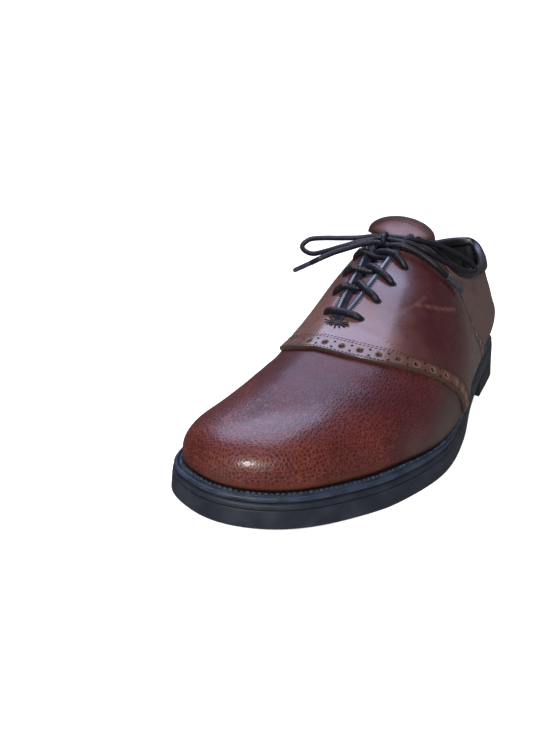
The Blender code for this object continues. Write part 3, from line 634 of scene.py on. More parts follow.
# Lace: routes in metres as the solids have them, the bow's free stretches first
lace = {
    "radius": 0.0016,
    "step": 0.0008,
    "sides": 18,
    "agletRadius": 0.0015,
    "eyeletTurns": (5.11, 5.50, 5.87, 6.25, 6.66),
    "eyeletRise": 0.90,
    "eyeletRadius": 0.0016,
    "eyeletDrop": 0.004,
    "nearShare": 0.30,
    "farShares": (0.80, 0.75, 0.40),
    "saddleFace": 0.0023,
    "barRadius": 0.0020,
    "hookRadius": 0.0011,
    "hookReach": 0.0075,
    "knotPlace": (-0.0120, 0.0109, 0.1112),
    "strandIn": 0.0050,
    "strandDrop": 0.0030,
    "wrapMiddle": (-0.0120, 0.0092, 0.1112),
    "wrapDepth": 0.0058,
    "wrapHeight": 0.0036,
    "wrapAim": (-0.25, 1.0, 0.0),
    "wrapTurn": (-0.56, 1.50),
    "wrapLean": 0.0010,
    "wrapPoints": 48,
    "knotMiddles": ((-0.0120, 0.0130, 0.1131), (-0.0120, 0.0090, 0.1120), (-0.0119, 0.0050, 0.1098)),
    "barLift": 0.0002,
    "crossLift": 0.0017,
    "farDrop": 0.0016,
    "tuckRise": 0.93,
    "tuckDepth": 0.0040,
    # share of the climb, rise and lift along the arc out of an eyelet
    "hookArc": ((0.0, -0.006, -0.0042), (0.0, 0.0, -0.0004), (0.3, 0.026, 0.0013), (0.65, 0.055, 0.0019)),
    # share of the length, share of the girth
    "agletForm": (
        (0.0, 0.80), (0.01, 0.95), (0.03, 1.0), (0.5, 1.0), (0.9, 0.97),
        (0.95, 0.90), (0.98, 0.74), (0.995, 0.50), (1.0, 0.12),
    ),
}
loopOuter = [
    (-0.0059, 0.0126, 0.1129), (-0.0005, 0.0126, 0.1128), (0.0030, 0.0154, 0.1122),
    (0.0066, 0.0192, 0.1111), (0.0101, 0.0240, 0.1099), (0.0130, 0.0290, 0.1084),
    (0.0161, 0.0345, 0.1060), (0.0189, 0.0415, 0.1032), (0.0222, 0.0480, 0.0998),
    (0.0259, 0.0530, 0.0961), (0.0285, 0.0550, 0.0925), (0.0288, 0.0520, 0.0911),
    (0.0274, 0.0470, 0.0915), (0.0254, 0.0400, 0.0935), (0.0232, 0.0330, 0.0960),
    (0.0186, 0.0240, 0.1005), (0.0133, 0.0170, 0.1052), (0.0082, 0.0140, 0.1081),
    (0.0039, 0.0114, 0.1102), (-0.0006, 0.0088, 0.1111), (-0.0058, 0.0088, 0.1116),
]
loopInner = [
    (-0.0181, 0.0130, 0.1126), (-0.0235, 0.0122, 0.1125), (-0.0300, 0.0101, 0.1115),
    (-0.0410, 0.0055, 0.1109), (-0.0510, 0.0016, 0.1106), (-0.0594, -0.0016, 0.1095),
    (-0.0628, -0.0050, 0.1059), (-0.0605, -0.0061, 0.1029), (-0.0540, -0.0061, 0.1013),
    (-0.0465, -0.0045, 0.1031), (-0.0365, -0.0011, 0.1065), (-0.0270, 0.0036, 0.1096),
    (-0.0183, 0.0088, 0.1116),
]
endOuter = [
    (-0.0064, 0.0056, 0.1090), (0.0006, 0.0056, 0.1093), (0.0070, 0.0080, 0.1072),
    (0.0139, 0.0108, 0.1032), (0.0208, 0.0127, 0.0981), (0.0255, 0.0166, 0.0929),
]
endInner = [
    (-0.0174, 0.0052, 0.1099), (-0.0224, -0.0001, 0.1089), (-0.0280, -0.0067, 0.1067),
    (-0.0336, -0.0132, 0.1043), (-0.0394, -0.0196, 0.1009), (-0.0446, -0.0206, 0.0982),
]
agletTips = {"outer": (0.0330, 0.0256, 0.0829), "inner": (-0.0582, -0.0202, 0.0919)}


def tubeRings(points, radii, sides):
    ahead = unit(np.gradient(points, axis=0))
    side = unit(np.cross(ahead[0], (0.0, 0.0, 1.0)))
    rings = []
    angles = np.linspace(0.0, 2 * math.pi, sides + 1)[:, None]
    for place, run, radius in zip(points, ahead, np.broadcast_to(radii, len(points))):
        side = unit(side - run * (side @ run))
        up = np.cross(side, run)
        rings.append(place + radius * (np.cos(angles) * side + np.sin(angles) * up))
    return np.array(rings)


def tubeCaps(start, columns, rows):
    farEnd = start + (columns - 1) * rows
    return [[start + k for k in range(rows - 1)], [farEnd + k for k in reversed(range(rows - 1))]]


def cordTube(name, routes, radii, finish):
    verts, faces, uvs = [], [], []
    start = 0
    for points, radius in zip(routes, radii):
        rings = tubeRings(points, radius, lace["sides"])
        columns, rows = rings.shape[:2]
        along = arcLength(points) / (2 * math.pi * np.max(radius))
        uv = np.stack(np.broadcast_arrays(along[:, None], np.linspace(0, 1, rows)[None, :]), axis=-1)
        faces += [face[::-1] for face in gridFaces(columns, rows, start)]
        faces += tubeCaps(start, columns, rows)
        verts.append(rings.reshape(-1, 3))
        uvs.append(uv.reshape(-1, 2))
        start += columns * rows
    piece = makePiece(name, np.concatenate(verts), faces, [finish], uv=np.concatenate(uvs), weld=1e-6)
    faceOutward(piece)
    return piece


def agletPiece(name, end, tip):
    start, stop = np.array(end[-1]), np.array(tip)
    run = unit(stop - start)
    long = np.linalg.norm(stop - start)
    share, girth = np.array(lace["agletForm"]).T
    gap = 2 * last["seamGap"]
    points = start + run * (gap + share * (long - gap))[:, None]
    piece = cordTube(name + "_tip", [points], [girth * lace["agletRadius"]], finishes["aglet"])
    return seatPiece(piece, "aglet_plastic", name)


def laceCord(name, routes, node, radii=None):
    radii = radii or [lace["radius"]] * len(routes)
    return seatPiece(cordTube(name, routes, radii, finishes["lace"]), "lace_cord", node)


def makeBow():
    strands = (
        ("loop_outer", loopOuter, "object", None),
        ("loop_inner", loopInner, "object", None),
        ("end_outer", endOuter, "fitting", "outer"),
        ("end_inner", endInner, "fitting", "inner"),
    )
    for name, route, farEnd, tip in strands:
        points = smoothRoute(route, lace["step"])
        piece = laceCord(name + "_cord", [points], "lace_" + name)
        onIt = [agletPiece("aglet_" + tip, route, agletTips[tip])] if tip else []


def onSaddle(turn, rise, side, above=0.0):
    return offLast(side * turn, rise, lace["saddleFace"] + lace["barRadius"] + above)


def intoEyelet(index, side, climb=0.0):
    # One smooth arc up out of the hole and over to the throat
    turn, rise, face = lace["eyeletTurns"][index], lace["eyeletRise"], lace["saddleFace"]
    return [
        offLast(side * (turn + climb * share), rise + up, face + lift)
        for share, up, lift in lace["hookArc"]
    ]


def hookGirth(points, bothEnds):
    # Thin where the lace dips into an eyelet, full over the throat
    run = arcLength(points)
    share = smoothStep(0.0, lace["hookReach"], run)
    if bothEnds:
        share = np.minimum(share, smoothStep(0.0, lace["hookReach"], run[-1] - run))
    return lace["hookRadius"] + (lace["barRadius"] - lace["hookRadius"]) * share


def makeLacing():
    turns, edge, lift = lace["eyeletTurns"], last["nearTop"], lace["barLift"]
    bar = intoEyelet(0, 1) + [onSaddle(turns[0], edge, side, lift) for side in (1, -1)]
    bar = smoothRoute(bar + intoEyelet(0, -1)[::-1], lace["step"])
    laceCord("bar_cord", [bar], "lace_bar", [hookGirth(bar, True)])
    for index, farShare in enumerate(lace["farShares"], start=1):
        routes = []
        here, above = turns[index], turns[index + 1]
        for side in (1, -1):
            climb = lace["nearShare"] * (above - here)
            near = onSaddle(here + climb, edge, side, lift)
            farTurn = here + farShare * (above - here)
            far = topLine(-side * farTurn)
            middle = 0.5 * (near + far) + np.array((0.0, 0.0, lace["crossLift"] * side))
            lowFar = far - np.array((0.0, 0.0, lace["farDrop"]))
            tucked = offLast(-side * farTurn, lace["tuckRise"], -lace["tuckDepth"])
            route = intoEyelet(index, side, climb) + [near, middle, lowFar, tucked]
            routes.append(smoothRoute(route, lace["step"]))
        girths = [hookGirth(route, False) for route in routes]
        laceCord(f"crossing_{index}_cord", routes, f"lace_crossing_{index}", girths)
    knot = np.array(lace["knotPlace"])
    routes = knotStrands()
    for side in (1, -1):
        under = topLine(side * turns[-1]) + np.array((-side * lace["strandIn"], 0.0, -lace["strandDrop"]))
        routes.append(smoothRoute([under, knot], lace["step"]))
    laceCord("knot_cord", routes, "lace_knot")


def throughKnot(first, second, middle):
    # The stretch between two cords' first points, leaving both in their own direction
    route = np.array([first[1], first[0], middle, second[0], second[1]])
    points = smoothRoute(route, lace["step"])
    lead, tail = (max(1, round(np.linalg.norm(route[k] - route[k + 1]) / lace["step"])) for k in (0, 3))
    return points[lead:len(points) - tail]


def knotStrands():
    # The loops and ends run on through the knot, and one wrap goes round them all
    pairs = (loopOuter, loopInner), (loopOuter[::-1], loopInner[::-1]), (endOuter, endInner)
    routes = [throughKnot(*pair, middle) for pair, middle in zip(pairs, lace["knotMiddles"])]
    angle = math.pi * np.linspace(*lace["wrapTurn"], lace["wrapPoints"])
    deep = unit(np.array(lace["wrapAim"]))
    wrap = np.array(lace["wrapMiddle"]) + np.outer(np.cos(angle), deep) * lace["wrapDepth"]
    wrap[:, 2] += np.sin(angle) * lace["wrapHeight"]
    wrap[:, 0] += np.linspace(-lace["wrapLean"], lace["wrapLean"], lace["wrapPoints"])
    routes.append(smoothRoute(wrap, lace["step"]))
    return routes


makeBow()
makeLacing()
print("lace run")

# Upper: vamp and quarters outside, lining inside, one closed wall
upper = {
    "wall": 0.0022,
    "rows": 92,
    "liningRows": 30,
    "sideSteps": (84, 44, 84),
    "creaseRidge": 0.35,
    "hemRise": (0.03, 0.09),
    "hemTurns": (3.2, 4.6),
    # rise up to which the painted shade along the welt fades out
    "weltShadeRise": 0.045,
}
# Flex creases of the vamp and quarters: turn and rise along each, then depth and half width in metres
creases = [
    {"line": ((2.9, 0.60), (3.15, 0.80), (3.35, 1.0)), "depth": 0.00020, "width": 0.0040},
    {"line": ((4.3, 0.42), (3.95, 0.62), (3.75, 0.82), (3.62, 1.0)), "depth": 0.00026, "width": 0.0042},
    {"line": ((-2.9, 0.58), (-3.2, 0.78), (-3.35, 1.0)), "depth": 0.00016, "width": 0.0040},
    {"line": ((-4.3, 0.36), (-4.0, 0.60), (-3.75, 0.82), (-3.62, 1.0)), "depth": 0.00024, "width": 0.0042},
    {"line": ((-5.0, 0.22), (-4.55, 0.42), (-4.2, 0.62)), "depth": 0.00055, "width": 0.0045},
    {"line": ((5.3, 0.20), (4.9, 0.36), (4.55, 0.52)), "depth": 0.00040, "width": 0.0045},
    {"line": ((9.0, 0.62), (9.7, 0.50), (10.5, 0.52)), "depth": 0.00050, "width": 0.0055},
    {"line": ((-9.0, 0.62), (-9.7, 0.50), (-10.5, 0.52)), "depth": 0.00050, "width": 0.0055},
]
saddle = {
    "frontOuter": (6.00, 5.57, 5.19, 4.73, 4.43, 4.27, 4.17),
    "frontInner": (5.85, 5.37, 4.97, 4.57, 4.30, 4.20, 4.17),
    "rear": (8.22, 8.01, 7.68, 7.36, 7.20, 7.28, 7.52),
    "footRise": 0.035,
    "facingStep": 0.02,
    "loweredFrom": 0.6,
    "face": 0.0023,
    "under": 0.0002,
    "topGap": 0.0039,
    "edgeRound": 0.0011,
    "edgeShare": 0.45,
    "rows": 250,
    "bandSteps": (26, 10, 30, 12, 24),
    "bandShare": 0.1116,
    "foldWidth": 0.0020,
    "holeLine": 0.0056,
    "holePitch": 0.0097,
    "holeRadius": 0.00155,
    "holeDepth": 0.0011,
    "holeLip": (0.86, 1.20),
    "pinRadius": 0.00062,
    "pinSpread": 0.0021,
    "stitchLines": (0.0017, 0.0101, 0.0116),
    "stitch": (0.0021, 0.0017, 0.00055, 0.00045),  # pitch, length, width, height, as for all stitches
    "bandTint": 0.55,
}


def saddleEdge(values, share):
    # A smooth line through the turns given from the foot to the top
    steps = np.linspace(0.0, 1.0, len(values))
    return np.polyval(np.polyfit(steps, values, 4), share)


def creaseLift(points):
    lift = np.zeros(len(points))
    for crease in creases:
        knots = np.array(crease["line"])
        line = smoothRoute(np.column_stack([knots, np.zeros(len(knots))]), 0.02)
        places = lastPoint(line[:, 0], line[:, 1])
        gaps = np.linalg.norm(points[:, None, :] - places[None, ::2, :], axis=-1)
        nearest = gaps.argmin(axis=1)
        gap = gaps.min(axis=1) / crease["width"]
        fade = np.sin(math.pi * np.clip((nearest + 1) / (gaps.shape[1] + 1), 0.0, 1.0)) ** 0.5
        lift -= crease["depth"] * fade * np.exp(-gap**2)
        lift += crease["depth"] * upper["creaseRidge"] * fade * np.exp(-((gap - 1.7) / 0.8) ** 2)
    return lift


def spotPaint(points, spots):
    total = np.zeros(len(points))
    for turn, rise, reach, amount in spots:
        gap = np.linalg.norm(points - lastPoint(turn, rise), axis=1) / reach
        total += amount * np.exp(-gap**2)
    return np.clip(total, 0.0, 1.0)


# Colour zones: turn, rise, reach in metres, amount
vampWarm = [
    (0.0, 0.10, 0.026, 0.75), (-1.6, 0.25, 0.030, 0.70), (1.6, 0.12, 0.024, 0.65), (2.8, 0.20, 0.026, 0.55),
    (-3.2, 0.30, 0.034, 0.60), (3.6, 0.06, 0.018, 0.45), (-4.4, 0.10, 0.030, 0.35), (0.4, 0.55, 0.024, 0.35),
]
vampDusk = [
    (5.6, 0.12, 0.020, 0.85), (5.05, 0.05, 0.016, 0.60), (4.4, 0.03, 0.013, 0.55), (6.1, 0.25, 0.018, 0.50),
    (0.35, 0.02, 0.010, 0.30), (-5.6, 0.12, 0.020, 0.50),
]
vampShine = [
    (0.24, 0.58, 0.010, 0.75), (1.1, 0.60, 0.010, 0.75), (1.75, 0.59, 0.010, 0.75), (2.3, 0.56, 0.010, 0.75),
    (2.8, 0.54, 0.010, 0.55), (3.2, 0.52, 0.010, 0.35), (1.12, 0.27, 0.012, 0.90),
]
grainStrong = [
    (0.0, 0.25, 0.036, 1.0), (2.0, 0.25, 0.034, 1.0), (3.6, 0.25, 0.034, 0.9), (4.6, 0.35, 0.032, 0.75),
    (-2.0, 0.25, 0.034, 1.0), (-3.8, 0.30, 0.034, 0.9), (5.6, 0.3, 0.024, 0.5),
]


def makeUpper():
    a, b, c = upper["sideSteps"]
    half = np.concatenate([
        np.linspace(0.0, last["throatTurn"], a),
        np.linspace(last["throatTurn"], last["facingTurn"], b)[1:],
        np.linspace(last["facingTurn"], rowCount, c)[1:],
    ])
    turns = np.concatenate([half, 2 * rowCount - half[-2::-1]])
    rises = np.linspace(0.0, 1.0, upper["rows"])
    grid = turns[:, None] + 0 * rises[None, :], rises[None, :] + 0 * turns[:, None]
    points, normals = lastPoint(*grid), lastNormal(*grid)
    ridge = np.minimum(turns, 2 * rowCount - turns) <= last["throatTurn"] + 1e-9
    both = unit(normals[:, -1] + normals[::-1, -1])
    normals[ridge, -1] = both[ridge]
    lift = creaseLift(points.reshape(-1, 3)).reshape(points.shape[:2])
    outside = points + normals * lift[..., None]
    pick = np.round(np.linspace(0, upper["rows"] - 1, upper["liningRows"])).astype(int)
    inside = points[:, pick] - normals[:, pick] * upper["wall"]
    columns, rows, inRows = len(turns), upper["rows"], upper["liningRows"]
    base = columns * rows
    faces = gridFaces(columns, rows)
    middle = 0.5 * (saddleEdge(saddle["frontOuter"], rises) + saddleEdge(saddle["rear"], rises))
    fromToe = np.minimum(grid[0], 2 * rowCount - grid[0])
    kind = np.where((fromToe < middle[None, :])[:-1, :-1], 0, 1).ravel().tolist()
    faces += [face[::-1] for face in gridFaces(columns, inRows, base)]
    for i in range(columns - 1):
        faces.append((i * rows, base + i * inRows, base + (i + 1) * inRows, (i + 1) * rows))
        if not (ridge[i] and ridge[i + 1]):
            j = i + 1
            topIn = base + j * inRows + inRows - 1, base + i * inRows + inRows - 1
            faces.append((i * rows + rows - 1, j * rows + rows - 1, *topIn))
    kind += [2] * (len(faces) - len(kind))
    verts = np.concatenate([outside.reshape(-1, 3), inside.reshape(-1, 3)])
    hem = (1 - smoothStep(*upper["hemRise"], grid[1])) * (1 - smoothStep(*upper["hemTurns"], fromToe))
    # painted shade mask: full at the welt, gone by the given rise
    weltShade = 1 - smoothStep(0.0, upper["weltShadeRise"], grid[1])
    lining = np.zeros(columns * inRows)
    paint = {
        "warmAndTongueSheen": spotPaint(verts, vampWarm),
        "dusk": spotPaint(verts, vampDusk),
        "grain": spotPaint(verts, grainStrong),
        "shine": spotPaint(verts, vampShine),
        "hem": np.concatenate([hem.ravel(), lining]),
        "weltShade": np.concatenate([weltShade.ravel(), lining]),
    }
    leathers = [finishes["vamp"], finishes["quarter"], finishes["lining"]]
    piece = makePiece(
        "upper_leather", verts, faces, leathers,
        paint=paint, faceFinish=kind, weld=1e-6, sharp=50,
    )
    seatPiece(piece, "grain_leather", "upper")


makeUpper()
print("upper made")

# Saddle: colour zones and the light scuffs across it
saddleWarm = [
    (4.4, 0.96, 0.030, 0.85), (4.7, 0.70, 0.020, 0.55), (-4.4, 0.96, 0.030, 0.85), (-5.2, 0.80, 0.030, 0.70),
    (-6.4, 0.80, 0.034, 0.60), (5.4, 0.93, 0.018, 0.15), (6.3, 0.95, 0.016, 0.10), (-4.9, 0.50, 0.024, 0.45),
]
saddleDusk = [
    (6.6, 0.10, 0.026, 0.80), (7.6, 0.20, 0.030, 0.75), (8.4, 0.10, 0.026, 0.85), (7.7, 0.55, 0.020, 0.45),
    (5.6, 0.18, 0.016, 0.45), (-7.6, 0.20, 0.034, 0.60),
]
saddleScuffs = [
    {"line": ((5.75, 0.72), (6.0, 0.62), (6.3, 0.55)), "width": 0.0010, "amount": 0.45},
    {"line": ((6.75, 0.52), (6.80, 0.40), (6.85, 0.30)), "width": 0.0009, "amount": 0.50},
    {"line": ((5.35, 0.78), (5.65, 0.74), (5.95, 0.72)), "width": 0.0012, "amount": 0.30},
]


def scuffPaint(points, scuffs):
    total = np.zeros(len(points))
    for scuff in scuffs:
        knots = np.array(scuff["line"])
        line = smoothRoute(np.column_stack([knots, np.zeros(len(knots))]), 0.01)
        places = offLast(line[:, 0], line[:, 1], saddle["face"])
        gap = np.linalg.norm(points[:, None, :] - places[None, :, :], axis=-1).min(axis=1) / scuff["width"]
        total += scuff["amount"] * np.exp(-gap**2)
    return np.clip(total, 0.0, 1.0)


def saddleShares():
    front, rear = saddle["frontOuter"][-1], saddle["rear"][-1]
    throat = (last["throatTurn"] - front) / (rear - front)
    corner = (last["facingTurn"] - front) / (rear - front)
    band = saddle["bandShare"]
    dropped = corner + saddle["facingStep"]
    a, b, c, d, e = saddle["bandSteps"]
    shares = np.concatenate([
        band * np.linspace(0.0, 1.0, a) ** 1.15,
        np.linspace(band, throat, b)[1:],
        np.linspace(throat, corner, c)[1:],
        np.linspace(corner, dropped, 4)[1:],
        np.linspace(dropped, max(dropped, 1.0 - band), d)[1:],
        1.0 - band * np.linspace(1.0, 0.0, e)[1:] ** 1.15,
    ])
    return np.unique(np.round(shares, 6)), throat, corner


def saddleSurface(side):
    shares, throat, corner = saddleShares()
    heights = np.linspace(0.0, 1.0, saddle["rows"])
    front = saddle["frontOuter"] if side == 1 else saddle["frontInner"]
    frontTurn, rearTurn = saddleEdge(front, heights), saddleEdge(saddle["rear"], heights)
    turn = frontTurn + np.outer(shares, rearTurn - frontTurn)
    covered = riseBelowTop(turn[:, -1], binding["depth"] + saddle["topGap"])
    top = 1.0 - covered
    top = top * smoothStep(corner, corner + saddle["facingStep"], shares)
    lowered = np.clip((heights - saddle["loweredFrom"]) / (1.0 - saddle["loweredFrom"]), 0.0, 1.0)
    rise = saddle["footRise"] + (1.0 - saddle["footRise"]) * heights - np.outer(top, lowered)
    base, normal = lastPoint(side * turn, rise), lastNormal(side * turn, rise)
    return shares, throat, base, normal


binding = {
    "turn": 7.14,
    "depth": 0.0040,
    "gap": 0.0010,
    "leather": 0.0010,
    "tabDepth": 0.0050,
    "tabTurns": 0.75,
    "columns": 150,
    "roll": 0.62,
    "stitchUp": 0.0011,
    "liningSeams": (0.0095, 0.0118),
    "stitch": (0.0024, 0.0019, 0.0006, 0.0005),
}


def edgeGaps(base):
    # Distance of every grid point from the front, rear, foot and top edges
    across = np.linalg.norm(np.diff(base, axis=0), axis=-1)
    upward = np.linalg.norm(np.diff(base, axis=1), axis=-1)
    fromFront = np.concatenate([np.zeros((1, base.shape[1])), np.cumsum(across, axis=0)])
    fromFoot = np.concatenate([np.zeros((base.shape[0], 1)), np.cumsum(upward, axis=1)], axis=1)
    return fromFront, fromFront[-1:] - fromFront, fromFoot, fromFoot[:, -1:] - fromFoot


def lineAt(gaps, points, normals, distance):
    # The points of a grid at one distance from an edge, row by row
    place, out = [], []
    for row in range(gaps.shape[1]):
        order = np.argsort(gaps[:, row])
        at = [np.interp(distance, gaps[order, row], points[order, row, k]) for k in range(3)]
        face = [np.interp(distance, gaps[order, row], normals[order, row, k]) for k in range(3)]
        place.append(at)
        out.append(face)
    return np.array(place), unit(np.array(out))


def evenly(points, normals, pitch, offset=0.5):
    run = arcLength(points)
    count = int(run[-1] / pitch)
    at = (np.arange(count) + offset) * run[-1] / count
    place = np.stack([np.interp(at, run, points[:, k]) for k in range(3)], axis=1)
    out = unit(np.stack([np.interp(at, run, normals[:, k]) for k in range(3)], axis=1))
    ahead = unit(np.stack([np.interp(at, run, np.gradient(points[:, k])) for k in range(3)], axis=1))
    return place, out, ahead


# Geometry Nodes: stitches along lines, and punched holes at places
def newTree(name, sockets):
    tree = bpy.data.node_groups.new(name, "GeometryNodeTree")
    tree.interface.new_socket("Geometry", in_out="INPUT", socket_type="NodeSocketGeometry")
    for label, kind, value in sockets:
        socket = tree.interface.new_socket(label, in_out="INPUT", socket_type="NodeSocket" + kind)
        if value is not None:
            socket.default_value = value
    tree.interface.new_socket("Geometry", in_out="OUTPUT", socket_type="NodeSocketGeometry")
    return tree, tree.nodes.new("NodeGroupInput").outputs, tree.nodes.new("NodeGroupOutput").inputs


def named(tree, name, kind):
    return put(tree, "GeometryNodeInputNamedAttribute", {0: name}, data_type=kind).outputs[0]


def turnTo(tree, ahead, out):
    first = put(tree, "FunctionNodeAlignRotationToVector", {"Vector": ahead}, axis="X")
    values = {"Rotation": first.outputs[0], "Vector": out}
    return put(tree, "FunctionNodeAlignRotationToVector", values, axis="Z", pivot_axis="X").outputs[0]


def finishTree(tree, instances, finish, outputs):
    real = put(tree, "GeometryNodeRealizeInstances", {0: instances}).outputs[0]
    smooth = put(tree, "GeometryNodeSetShadeSmooth", {0: real}).outputs[0]
    dressed = put(tree, "GeometryNodeSetMaterial", {0: smooth, "Material": finish}).outputs[0]
    tree.links.new(dressed, outputs[0])
    return tree


def stitchRowTree():
    tree, given, outputs = newTree("stitchRow", (
        ("Pitch", "Float", 0.002),
        ("Stitch Length", "Float", 0.0016),
        ("Stitch Width", "Float", 0.0005),
        ("Stitch Height", "Float", 0.0004),
        ("Unevenness", "Float", 0.1),
        ("Seed", "Int", 7),
        ("Finish", "Material", None),
    ))
    curve = put(tree, "GeometryNodeMeshToCurve", {0: given["Geometry"]}).outputs[0]
    values = {"Curve": curve, "Length": given["Pitch"]}
    row = put(tree, "GeometryNodeResampleCurve", values, mode="LENGTH").outputs[0]
    values = {0: given["Stitch Length"], 1: given["Stitch Width"], 2: given["Stitch Height"]}
    size = put(tree, "ShaderNodeCombineXYZ", values).outputs[0]
    ball = put(tree, "GeometryNodeMeshUVSphere", {"Segments": 8, "Rings": 5, "Radius": 0.5}).outputs[0]
    stitch = put(tree, "GeometryNodeTransform", {"Geometry": ball, "Scale": size}).outputs[0]
    tangent = put(tree, "GeometryNodeInputTangent").outputs[0]
    low, high = (calc(tree, operation, 1.0, given["Unevenness"]) for operation in ("SUBTRACT", "ADD"))
    values = {2: low, 3: high, "Seed": given["Seed"]}
    chance = put(tree, "FunctionNodeRandomValue", values, data_type="FLOAT").outputs[1]
    placed = put(tree, "GeometryNodeInstanceOnPoints", {
        "Points": row,
        "Instance": stitch,
        "Rotation": turnTo(tree, tangent, named(tree, "faceOut", "FLOAT_VECTOR")),
        "Scale": chance,
    }).outputs[0]
    return finishTree(tree, placed, given["Finish"], outputs)


def punchTree():
    tree, given, outputs = newTree("punchedHoles", (
        ("Hole", "Object", None),
        ("Radius", "Float", 0.001),
        ("Finish", "Material", None),
    ))
    shape = put(tree, "GeometryNodeObjectInfo", {"Object": given["Hole"]}).outputs["Geometry"]
    ahead, out = named(tree, "runAlong", "FLOAT_VECTOR"), named(tree, "faceOut", "FLOAT_VECTOR")
    placed = put(tree, "GeometryNodeInstanceOnPoints", {
        "Points": given["Geometry"],
        "Instance": shape,
        "Rotation": turnTo(tree, ahead, out),
        "Scale": given["Radius"],
    }).outputs[0]
    return finishTree(tree, placed, given["Finish"], outputs)


def grow(name, tree, points, edges, vectors, settings):
    mesh = bpy.data.meshes.new(name)
    mesh.from_pydata(np.asarray(points).tolist(), edges, [])
    for key, values in vectors.items():
        layer = mesh.attributes.new(key, "FLOAT_VECTOR", "POINT")
        layer.data.foreach_set("vector", np.asarray(values, np.float32).ravel())
    piece = intoScene(name, mesh)
    nodes = piece.modifiers.new("grow", "NODES")
    nodes.node_group = tree
    for item in tree.interface.items_tree:
        if item.item_type == "SOCKET" and item.in_out == "INPUT" and item.name in settings:
            nodes[item.identifier] = settings[item.name]
    grown = bpy.data.meshes.new_from_object(piece.evaluated_get(bpy.context.evaluated_depsgraph_get()))
    piece.modifiers.clear()
    piece.data = grown
    grown.name = name
    return piece


def sewRows(name, lines, finish, size, slot, closed=False, seed=7, uneven=0.12):
    points, outs, edges = [], [], []
    start = 0
    for line, out in lines:
        count = len(line)
        edges += [(start + k, start + k + 1) for k in range(count - 1)]
        if closed:
            edges.append((start + count - 1, start))
        points.append(line)
        outs.append(out)
        start += count
    pitch, length, width, height = size
    settings = {
        "Pitch": pitch, "Stitch Length": length, "Stitch Width": width, "Stitch Height": height,
        "Unevenness": uneven, "Seed": seed, "Finish": finish,
    }
    piece = grow(name, stitchRow, np.concatenate(points), edges, {"faceOut": np.concatenate(outs)}, settings)
    return seatPiece(piece, slot)


stitchRow = stitchRowTree()
punchedHoles = punchTree()


def turnedShape(name, profile, sides=16):
    # A small turned cup of unit radius: radius, height, how far inside, which sets the painted shade of the
    # hole
    angles = np.linspace(0.0, 2 * math.pi, sides + 1)
    radius, height, inside = np.array(profile).T
    x, y = radius[:, None] * np.cos(angles), radius[:, None] * np.sin(angles)
    rings = np.stack([x, y, height[:, None] + 0 * angles], axis=-1)
    paint = {"inside": np.repeat(inside, sides + 1)}
    return makePiece(name, rings, gridFaces(len(profile), sides + 1), [], paint=paint, weld=1e-5)


# third values: share of painted shade; the cups darken towards their bottom, the pins in their middle
cupProfile = [
    (1.30, -0.06, 0.0), (1.22, 0.05, 0.0), (1.10, 0.09, 0.0), (1.0, 0.02, 0.0),
    (0.94, -0.25, 0.1), (0.90, -0.50, 0.9), (0.0, -0.52, 1.0),
]
pinProfile = [(1.35, -0.05, 0.0), (1.22, 0.10, 0.0), (1.02, 0.13, 0.3), (0.90, 0.05, 1.0), (0.0, 0.04, 1.0)]
eyeletProfile = [(1.25, -0.06, 0.2), (1.12, 0.05, 0.3), (0.98, 0.06, 0.6), (0.90, 0.01, 1.0), (0.0, 0.0, 1.0)]


def punchRow(name, shape, places, outs, aheads, radius, finish):
    settings = {"Hole": shape, "Radius": radius, "Finish": finish}
    vectors = {"faceOut": outs, "runAlong": aheads}
    return seatPiece(grow(name, punchedHoles, places, [], vectors, settings), "saddle_leather")


def saddleHalves():
    # Outer and inner half, meeting over the vamp in front of the throat
    grids = []
    for side in (1, -1):
        shares, throat, base, normal = saddleSurface(side)
        grids.append([base, normal])
    joined = shares <= throat + 1e-6
    for k in (0, 1):
        middle = 0.5 * (grids[0][k][joined, -1] + grids[1][k][joined, -1])
        middle = unit(middle) if k else middle
        grids[0][k][joined, -1] = middle
        grids[1][k][joined, -1] = middle
    return grids, joined


def skirtFaces(border, index, start, joined, lastRow):
    # Faces from the edge down to the vamp, left out where the halves meet
    faces = []
    for k in range(len(border) - 1):
        (i, j), (nextI, nextJ) = border[k], border[k + 1]
        overJoin = j == nextJ == lastRow and joined[i] and joined[nextI]
        if index[k] != index[k + 1] and not overJoin:
            faces.append((index[k], index[k + 1], start + k + 1, start + k))
    return faces


